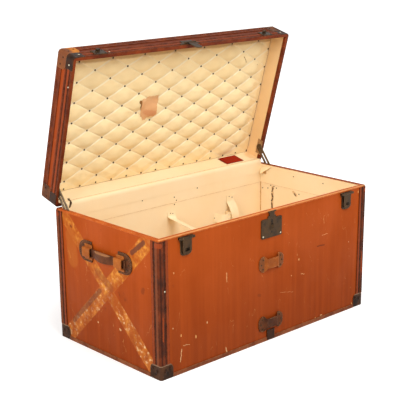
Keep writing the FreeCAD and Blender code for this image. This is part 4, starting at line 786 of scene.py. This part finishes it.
def on_border(place):
    return any(step in (0, CELLS * STEPS) for step in grid_place(place))


quilt = fresh(bpy.ops.mesh.primitive_grid_add, "quilted_lining", x_subdivisions=CELLS * STEPS,
              y_subdivisions=CELLS * STEPS, size=2)
shape(quilt, everything, lambda: bpy.ops.transform.resize(value=(REACH_X, REACH_Y, 1)),
      lambda: bpy.ops.transform.translate(value=(0, 0, SEAM_Z)), lambda: bpy.ops.mesh.flip_normals())
shape(quilt, on_seam, lambda: bpy.ops.mesh.vert_connect())
shape(quilt, on_seam, lambda: bpy.ops.transform.edge_crease(value=0.8))
print("quilt grid:", len(quilt.data.vertices), "points")

# %% [markdown]
# The pins are the seams and the border. A first push between the seams gives each diamond its dome and
# tells the simulation which way is out. The pressure works along the normals, which point into the trunk.

# %% Blow up the quilt
DOME, FLAT_BORDER, LAST_FRAME = 9.5 * MM, 60 * MM, 20


def puff(piece, pressure, slack, cap):
    """Runs the cloth to its last frame, and limits how far each point has moved."""
    held = piece.vertex_groups.new(name="seams")
    held.add([point.index for point in piece.data.vertices if on_seam(point.co) or on_border(point.co)], 1.0,
             "REPLACE")
    starts = [point.co.copy() for point in piece.data.vertices]
    cloth = piece.modifiers.new("cloth", "CLOTH")
    cloth.settings.vertex_group_mass = "seams"
    cloth.settings.use_pressure = True
    cloth.settings.uniform_pressure_force = pressure
    cloth.settings.shrink_min = -slack
    cloth.settings.effector_weights.gravity = 0
    cloth.point_cache.frame_start, cloth.point_cache.frame_end = 1, LAST_FRAME
    for number in range(1, LAST_FRAME + 1):
        bpy.context.scene.frame_set(number)
    pick(piece)
    bpy.ops.object.modifier_apply(modifier=cloth.name)
    bpy.context.scene.frame_set(1)
    furthest = 0.0
    for point, start in zip(piece.data.vertices, starts):
        move = point.co - start
        furthest = max(furthest, move.length)
        if move.length > cap:
            point.co = start + move * (cap / move.length)
    print("furthest move", round(furthest / MM, 1), "mm, capped at", round(cap / MM, 1))


def swell(place):
    """0 on the seams and 1 in the middle of a diamond."""
    along, across = grid_place(place)
    first, second = (along + across) / (2 * STEPS), (along - across) / (2 * STEPS)
    return abs(math.sin(math.pi * first) * math.sin(math.pi * second)) ** 0.8


def freedom(place):
    """0 at the border of the pad, where it is nailed flat, and 1 further in."""
    share = min(1.0, min(REACH_X - abs(place.x), REACH_Y - abs(place.y)) / FLAT_BORDER)
    return share * share * (3 - 2 * share)


for point in quilt.data.vertices:
    point.co.z -= DOME * swell(point.co) * freedom(point.co)
puff(quilt, pressure=4.0, slack=0.015, cap=4 * MM)

# %% [markdown]
# A nail pulls each crossing in, and the cloth near it runs to the nail in small pleats. The points close
# to a crossing are drawn towards the board for that. Then the pad is closed at the back, and subdivided
# once for a soft surface.

# %% Draw in the crossings and close the back
PULL, PULL_WIDTH, PLEAT = 1.2 * MM, 9 * MM, 0.6 * MM


def knot(i, j):
    """Where line i along the length crosses line j along the depth."""
    return (2 * i / CELLS - 1) * REACH_X, (2 * j / CELLS - 1) * REACH_Y


def nearest_knot(place):
    """Distance to the closest crossing, in the pad's plane."""
    along, across = (place.x / REACH_X + 1) / 2 * CELLS, (place.y / REACH_Y + 1) / 2 * CELLS
    best = 1.0
    for i in (math.floor(along), math.ceil(along)):
        for j in (math.floor(across), math.ceil(across)):
            if (i + j) % 2 == 0:
                best = min(best, (place.to_2d() - Vector(knot(i, j))).length)
    return best


for point in quilt.data.vertices:
    point.co.z += PULL * math.exp(-(nearest_knot(point.co) / PULL_WIDTH) ** 2)
    point.co.z -= PLEAT * noise.noise(point.co * 40)
shape(quilt, on_border, draw_out(0, 0, BACK_Z - SEAM_Z), lambda: bpy.ops.mesh.fill(use_beauty=False))
finish_with(quilt, "SUBSURF", levels=1, render_levels=1)
settle(quilt, "lid", FINISH["quilt"], angle=35, place=OPENED)
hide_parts("quilted_pad")

# %% [markdown]
# Tapes and hinge cloth are flat strips that follow a path. A strip could be a curve with a flat profile,
# but one edge extruded from point to point keeps its width straight and gives its cut length. A path is
# made of straight runs, and of bends with a radius and a turn.

# %% A strip along a path
def strip(name, width, path, aside=(1, 0, 0), thick=1.2 * MM):
    """One edge, extruded from point to point of the path. Gives the piece and its flat length."""
    piece = fresh(bpy.ops.mesh.primitive_plane_add, name, size=2)
    shape(piece, lambda place: place.y > 0, lambda: bpy.ops.mesh.delete(type="VERT"))
    side = Vector(aside).normalized() * width / 2
    for point in piece.data.vertices:
        point.co = path[0] + side * (1 if point.co.x > 0 else -1)
    moves = [end - start for start, end in zip(path, path[1:])]
    shape(piece, everything, *[lambda move=move: bpy.ops.mesh.extrude_region_move(
        TRANSFORM_OT_translate={"value": move}) for move in moves])
    shape(piece, everything, lambda: bpy.ops.mesh.normals_make_consistent(inside=False))
    if thick:
        thicken(piece, thick)
    return piece, sum(move.length for move in moves)


def bent_path(start, heading, moves):
    """Points in the plane across the trunk. A move is a straight run, or a radius with a turn."""
    points, place, angle = [start], start.copy(), math.radians(heading)
    for radius, turn in moves:
        count = 1 if turn == 0 else max(4, int(abs(turn) / 9))
        bend = math.radians(turn) / count
        run = radius if turn == 0 else abs(bend) * radius
        for number in range(count):
            angle += bend / 2
            place = place + Vector((0, math.cos(angle), math.sin(angle))) * run
            angle += bend / 2
            points.append(place)
    return points


print("strip helpers ready")

# %% [markdown]
# Cloth tapes once held things down inside. Each is nailed to the back lining by its tab, hangs free and
# lies on the floor of the trunk. The long one rolls a little on its way down, so its points are turned
# about the middle of the tape.

# %% The two tapes
BACK_LINING, TRUNK_FLOOR, DOWN = 226.3, 12.6 * MM, -90
TAPE_WIDTH, TAB_BEND, FLOOR_BEND, FLOOR_RUN = 36 * MM, 14 * MM, 16 * MM, 30 * MM
ROLL_IN, ROLL_END, ROLL_OUT = 16 * MM, 30 * MM, 50 * MM


def share_of(value, whole):
    return min(1.0, max(0.0, value / whole))


def tape(name, node, x, top, tab, turn, reach, fall, roll):
    """A tape that leaves the wall below its tab by a turn, reaches out, falls, and rolls on its way."""
    start = Vector((x * MM, BACK_LINING * MM, top * MM))
    path = bent_path(start, DOWN, [(tab * MM, 0), (TAB_BEND, -turn), (reach * MM, 0), (fall * MM, turn)])
    drop = path[-1].z - TRUNK_FLOOR - FLOOR_BEND
    path += bent_path(path[-1], DOWN, [(drop, 0), (FLOOR_BEND, -90), (FLOOR_RUN, 0)])[1:]
    piece, length = strip(name, TAPE_WIDTH, path)
    for point in piece.data.vertices:
        free = share_of(start.z - tab * MM - point.co.z, ROLL_IN) * share_of(point.co.z - ROLL_END, ROLL_OUT)
        lean, off_middle = math.radians(roll) * free, point.co.x - x * MM
        point.co.x = x * MM + off_middle * math.cos(lean)
        point.co.z -= off_middle * math.sin(lean)
    settle(piece, "trunk_body", FINISH["tape"])
    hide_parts(node)


tape("long_cloth_tape", "long_tape", x=6, top=321, tab=9, turn=82, reach=92, fall=60, roll=18)
tape("short_cloth_tape", "short_tape", x=282, top=331, tab=18, turn=38, reach=10, fall=80, roll=0)

# %% [markdown]
# The same cloth closes the gap at the hinges. It is pasted on the back wall, goes over the rim and up the
# inside of the open lid, and rides on neither body.

# %% The cloth hinge
HINGE_WIDTH, STAND_OFF, TUCKED_IN, RIPPLE = 874, 0.9, 1.2, 0.5
leaning = swing.to_3x3() @ Vector((0, 0, 1))
facing_in = swing.to_3x3() @ Vector((0, -1, 0))
lid_edge = OPENED @ Vector((0, 230.7 * MM, 421 * MM)) + facing_in * STAND_OFF * MM
OVER_THE_RIM = ((225.8, 421), (226.1, 425), (227.6, 430), (231, 433.4), (235.5, 434.4))
hinge_path = [Vector((0, 225.7 * MM, z * MM)) for z in (386, 398, 408, 415)]
hinge_path += [Vector((0, y, z)) * MM for y, z in OVER_THE_RIM]
hinge_path += [lid_edge + leaning * run * MM for run in (0, 4, 9, 12)]
hinge_path += [lid_edge + leaning * run * MM - facing_in * TUCKED_IN * MM for run in (16, 24, 34)]
hinge_cloth, length = strip("hinge_cloth", HINGE_WIDTH * MM, hinge_path, thick=0)
shape(hinge_cloth, everything, lambda: bpy.ops.mesh.subdivide(number_cuts=3))
for point in hinge_cloth.data.vertices:
    ripple = noise.noise(Vector((point.co.x * 18, point.co.z * 9, 3)))
    point.co += facing_in * RIPPLE * MM * ripple
thicken(hinge_cloth, 0.6 * MM)
settle(hinge_cloth, None, FINISH["lining"])
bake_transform(hinge_cloth)

# %% [markdown]
# Small sheets are left from the trunk's travels: a red paper label beside the hinge cloth, a torn sticker
# on the quilt, and a corner of lining that has come loose. Each is a grid stretched between four corners,
# with a rim torn by noise, which is seeded so that it tears the same way each time. The sticker is
# shrink-wrapped onto the domes below it.

# %% Label, sticker and loose lining
noise.seed_set(3)


def leaf(name, corners, steps, ragged, seed, place=STILL):
    """A grid between four corners in millimetres, torn a little along its rim."""
    piece = fresh(bpy.ops.mesh.primitive_grid_add, name, x_subdivisions=steps, y_subdivisions=steps, size=2)
    first, second, third, fourth = [Vector(corner) * MM for corner in corners]
    for point in piece.data.vertices:
        along, across = (point.co.x + 1) / 2, (point.co.y + 1) / 2
        rim = max(abs(point.co.x), abs(point.co.y)) ** 8
        tear = noise.noise_vector(Vector((along * 9, across * 9, seed))) * ragged * MM * rim
        point.co = place @ (first.lerp(second, along).lerp(fourth.lerp(third, along), across) + tear)
    return piece


label = leaf("red_label", [(286, 228.6, 428), (370, 228.6, 428), (370, 230.2, 478), (286, 230.2, 478)],
             steps=8, ragged=0.5, seed=1)
thicken(label, 0.4 * MM)
settle(label, "lid", FINISH["red_paper"], place=OPENED)

sticker = leaf("torn_sticker", [(-126, -46, 471), (-44, -54, 471), (-42, 17, 471), (-96, 29, 471)],
               steps=18, ragged=5, seed=4, place=OPENED)
finish_with(sticker, "SHRINKWRAP", target=quilt, wrap_method="NEAREST_SURFACEPOINT", wrap_mode="ABOVE_SURFACE",
            offset=0.7 * MM)
thicken(sticker, 0.3 * MM)
settle(sticker, "lid", FINISH["old_paper"])

flap = leaf("loose_lining", [(435.6, 226, 404), (435.6, 171, 416), (421, 214, 385), (421.2, 217, 385)],
            steps=8, ragged=0.6, seed=7)
thicken(flap, 0.6 * MM)
# The loose corner takes the paler tape cloth, painted lighter than the lining as a painted highlight.
settle(flap, "trunk_body", FINISH["tape"])

# %% [markdown]
# A short loop of the same tape is nailed at both ends and stands out from the back wall. It once held a
# bottle or a brush upright. Its path lies level, so the strip's width points up.

# %% The tape loop
LOOP = ((201, 226.3), (208, 225.8), (212, 220), (213, 208), (217, 197), (226, 189), (238, 187), (249, 191),
        (256, 200), (257.5, 212), (259, 222), (262, 226), (263.4, 226.3))
tape_loop, length = strip("tape_loop", 32 * MM, [Vector((x, y, 260)) * MM for x, y in LOOP], (0, 0, 1))
settle(tape_loop, "trunk_body", FINISH["tape"])

# %% [markdown]
# Hundreds of small nails hold the trunk together. One is modelled, as a ball cut in half and flattened,
# and every other nail is a copy with its own place, size and direction. Copies of one kind are joined.

# %% One nail and its copies
nail = fresh(bpy.ops.mesh.primitive_uv_sphere_add, "nail_pattern", segments=8, ring_count=6, radius=1)
shape(nail, everything, cut_half(0, 0, 1))
shape(nail, everything, lambda: bpy.ops.transform.resize(value=(1, 1, 0.5)))
shape(nail, lambda place: place.z < 0.01, draw_out(0, 0, -0.25))


def spots(places, out, radius, carried=STILL):
    """Where nails go: points in millimetres, the way they face, and their radius in millimetres."""
    turn = Vector(out).normalized().to_track_quat("Z", "Y").to_matrix().to_4x4()
    size = Matrix.Diagonal((*[radius * MM] * 3, 1))
    return [carried @ Matrix.Translation(Vector(place) * MM) @ turn @ size for place in places]


def corner_pair(sx, sy, inset, z, proud, radius, carried=STILL):
    """Two nails beside one corner, on the long side and on the end, as far from it as each other."""
    long_side = (sx * (HALF_LENGTH - inset), sy * (HALF_DEPTH + proud), z)
    short_side = (sx * (HALF_LENGTH + proud), sy * (HALF_DEPTH - inset), z)
    return spots([long_side], (0, sy, 0), radius, carried) + spots([short_side], (sx, 0, 0), radius, carried)


def nails(name, places, body, slot, finish_name=None, pattern=nail):
    """Copies of the pattern, each with its own mesh, joined to one piece."""
    copies = []
    for matrix in places:
        twin = pattern.copy()
        twin.data = pattern.data.copy()
        twin.data.transform(matrix)
        bpy.context.collection.objects.link(twin)
        copies.append(twin)
    pick(*copies)
    bpy.ops.object.join()
    copies[0].name = copies[0].data.name = name
    settle(copies[0], body, FINISH[finish_name or slot], 50)


FRONT, BACK, LEFT, RIGHT, UP, DOWNWARD = (0, -1, 0), (0, 1, 0), (-1, 0, 0), (1, 0, 0), (0, 0, 1), (0, 0, -1)
print("nail pattern:", len(nail.data.polygons), "faces")

# %% [markdown]
# Each crossing of the quilt has a dark tuft nail. One more row of nails runs along the hinge side and one
# along the right edge, where the pad's border is fixed.

# %% Tuft nails
TUFT, TUFT_Z, BORDER_Z = 3.2, 485.4, 484.2
edge = REACH_X / MM - 7
crossings = [knot(i, j) for i in range(1, CELLS) for j in range(1, CELLS) if (i + j) % 2 == 0]
tufts = spots([(x / MM, y / MM, TUFT_Z) for x, y in crossings], DOWNWARD, TUFT, OPENED)
border = [(max(-edge, min(edge, knot(i, 0)[0] / MM)), 224, BORDER_Z) for i in range(CELLS + 1)]
border += [(edge, knot(0, j)[1] / MM, BORDER_Z) for j in range(2, CELLS, 2)]
nails("tuft_nails", tufts + spots(border, DOWNWARD, TUFT, OPENED), "lid", "bronze", "dull_brass")

# %% [markdown]
# The corner posts and base caps are nailed through their grooves, and the lock and the hinges are screwed
# on. Rows are given by a start, an end and a step, for all corners at once. A few nails were renewed and
# are still bright.

# %% Nails of the trunk's body
LOCK_FACE, LEAF_FACE, POST_GROOVE = -243, 241.8, 18
trim_nails = []
for sx, sy in SIGNS:
    for z in range(72, 412, 48):
        trim_nails += corner_pair(sx, sy, POST_GROOVE, z, proud=1.6, radius=2.5)
    for z, inset in ((25, 15), (33, 34)):
        trim_nails += corner_pair(sx, sy, inset, z, proud=1.8, radius=4.6)
nails("body_trim_nails", trim_nails, "trunk_body", "dark_metal")
renewed = spots([(-432, -241.6, 267)], FRONT, 2.7)
renewed += spots([(38, LOCK_FACE, 343), (-38, LOCK_FACE, 343)], FRONT, 2.6)
nails("renewed_nails", renewed, "trunk_body", "steel", "bright_nail")
lock_screws = [(-38, LOCK_FACE, 389), (38, LOCK_FACE, 389)]
leaf_screws = [(x, LEAF_FACE, z) for x in (-284, 284, -316, 316, -16, 16) for z in (397, 409)]
nails("fitting_screws", spots(lock_screws, FRONT, 2.4) + spots(leaf_screws, BACK, 3), "trunk_body", "bronze")

# %% [markdown]
# The lid has nails in its caps, in the lower groove of its trims, in the clasp catches and in the hinge
# leaves. They are placed on the closed lid and swung open with it. Its front brackets were nailed anew.

# %% Nails of the lid
TRIM_ROW, LID_TOP, CATCH_FACE = 429.2, 498.3, -244.3
lid_nails = []
for sx, sy in SIGNS:
    for z, inset in ((468, 14), (478, 38)):
        lid_nails += corner_pair(sx, sy, inset, z, proud=2.3, radius=2.6, carried=OPENED)
    lid_nails += spots([(sx * 428, sy * 218, LID_TOP)], UP, 2.8, OPENED)
    lid_nails += spots([(sx * 409, sy * 236, LID_TOP)], UP, 2.4, OPENED)
    lid_nails += spots([(sx * x, sy * 241, TRIM_ROW) for x in (60, 140, 220)], (0, sy, 0), 2.3, OPENED)
    lid_nails += spots([(sx * 451, sy * y, TRIM_ROW) for y in (40, 120)], (sx, 0, 0), 2.3, OPENED)
catches = [(middle + x, CATCH_FACE, z) for middle in (-350, 350) for x in (-17, 17) for z in (427, 447)]
hinge_leaves = [(middle + x, LEAF_FACE, z) for middle in (-300, 300, 0) for x in (-16, 16) for z in (432, 444)]
lid_nails += spots(catches, FRONT, 2.2, OPENED) + spots(hinge_leaves, BACK, 3, OPENED)
nails("lid_nails", lid_nails, "lid", "dark_metal")
RENEWED = ((-423, -242.3, 436, FRONT, 2.8), (-452.3, -214, 436, LEFT, 2.8), (-451, -148, TRIM_ROW, LEFT, 2.6),
           (452.3, -214, 436, RIGHT, 2.6), (-318, CATCH_FACE, 428, FRONT, 2.6), (423, -242.3, 436, FRONT, 2.6))
renewed_on_lid = [spots([place], out, radius, OPENED)[0] for *place, out, radius in RENEWED]
nails("renewed_lid_nails", renewed_on_lid, "lid", "steel", "bright_nail")

# %% [markdown]
# Leather is held by studs: three at each end of a strap keeper, three on each handle plate. The strap clip
# has four. Inside, small dark nails are left over from straps and tapes that once hung there.

# %% Studs of the leather and nails of the lining
KEEPERS_Z, KEEPER_FACE, PLATE_STUDS = (255, 60), -243.8, ((111, 318), (104, 334), (104, 302))
studs = []
for z in KEEPERS_Z:
    for sx in (-1, 1):
        studs += spots([(sx * x, KEEPER_FACE, z + rise) for x, rise in ((45, 0), (38, 15), (38, -15))], FRONT, 2.8)
studs += spots([(x, -246, z) for x in (-30, 30) for z in (40, 80)], FRONT, 2.4)
for sx, sy in SIGNS:
    studs += spots([(sx * 453.8, sy * y, z) for y, z in PLATE_STUDS], (sx, 0, 0), 3.0)
nails("leather_studs", studs, "trunk_body", "bronze")
ON_BACK = ((-120, 384), (19, 370), (28, 358), (124, 383), (276, 325), (290, 320), (1, 317), (11, 315), (204, 260),
           (19, 345))
ON_RIGHT = ((190, 334), (148, 341), (216, 330), (67, 397), (-69, 396), (176, 346), (160, 345), (40, 338))
inside_nails = spots([(x, 226.6, z) for x, z in ON_BACK], FRONT, 2.2)
inside_nails += spots([(436.6, y, z) for y, z in ON_RIGHT], LEFT, 2.2)
nails("lining_nails", inside_nails, "trunk_body", "bronze", "dark_metal")
bpy.data.objects.remove(nail)

# %% [markdown]
# The handle plates and strap keepers are sewn along their edges. A stitch is a small ball, drawn out long
# and pressed flat, and it lies along the edge that it holds: round the bow of a plate, and straight along
# the rest.

# %% Stitches
PLATE_FACE, PLATE_Y, PLATE_Z, BOW = 454.1, 92, 318, 28
stitch = fresh(bpy.ops.mesh.primitive_uv_sphere_add, "stitch_pattern", segments=6, ring_count=4, radius=1)
shape(stitch, everything, lambda: bpy.ops.transform.resize(value=(1, 0.36, 0.42)))


def sewn(place, out, along, half=2.1):
    """Where a stitch goes: its middle in millimetres, the way it faces, the way it runs and its half length."""
    run, face = Vector(along).normalized(), Vector(out).normalized()
    turn = Matrix((run, face.cross(run), face)).transposed().to_4x4()
    return Matrix.Translation(Vector(place) * MM) @ turn @ Matrix.Diagonal((*[half * MM] * 3, 1))


seams = []
for sx, sy in SIGNS:
    for number in range(15):
        angle = math.radians(-90 + 180 * number / 14)
        place = (sx * PLATE_FACE, sy * (PLATE_Y + BOW * math.cos(angle)), PLATE_Z + BOW * math.sin(angle))
        seams.append(sewn(place, (sx, 0, 0), (0, -sy * math.sin(angle), math.cos(angle))))
    seams += [sewn((sx * PLATE_FACE, sy * y, z), (sx, 0, 0), BACK) for y in (67, 73, 79, 85)
              for z in (PLATE_Z - BOW, PLATE_Z + BOW)]
seams += [sewn((x, -244.1, z + rise), FRONT, RIGHT, 1.8) for z in KEEPERS_Z for rise in (-21, 21)
          for x in (-44, -39, -34, 34, 39, 44)]
nails("edge_stitches", seams, "trunk_body", "tape", "old_thread", stitch)
bpy.data.objects.remove(stitch)

# %% [markdown]
# The lock has a raised arch round its keyhole. It is half of a ring with its two legs drawn down, which
# keeps the rod equally thick all the way, and its ends are closed.

# %% The keyhole arch
BEND, ROD, LEGS = 7 * MM, 1.1 * MM, 14 * MM
arch = fresh(bpy.ops.mesh.primitive_torus_add, "keyhole_arch", major_radius=BEND, minor_radius=ROD,
             major_segments=24, minor_segments=8)
shape(arch, everything, cut_half(0, 1, 0))
shape(arch, lambda place: place.y < 0.1 * MM, draw_out(0, -LEGS, 0), lambda: bpy.ops.mesh.edge_face_add())
arch.data.transform(Matrix.Translation((0, -243.2 * MM, 375 * MM)) @ Matrix.Rotation(math.radians(90), 4, "X"))
settle(arch, "trunk_body", FINISH["bronze"], 50)
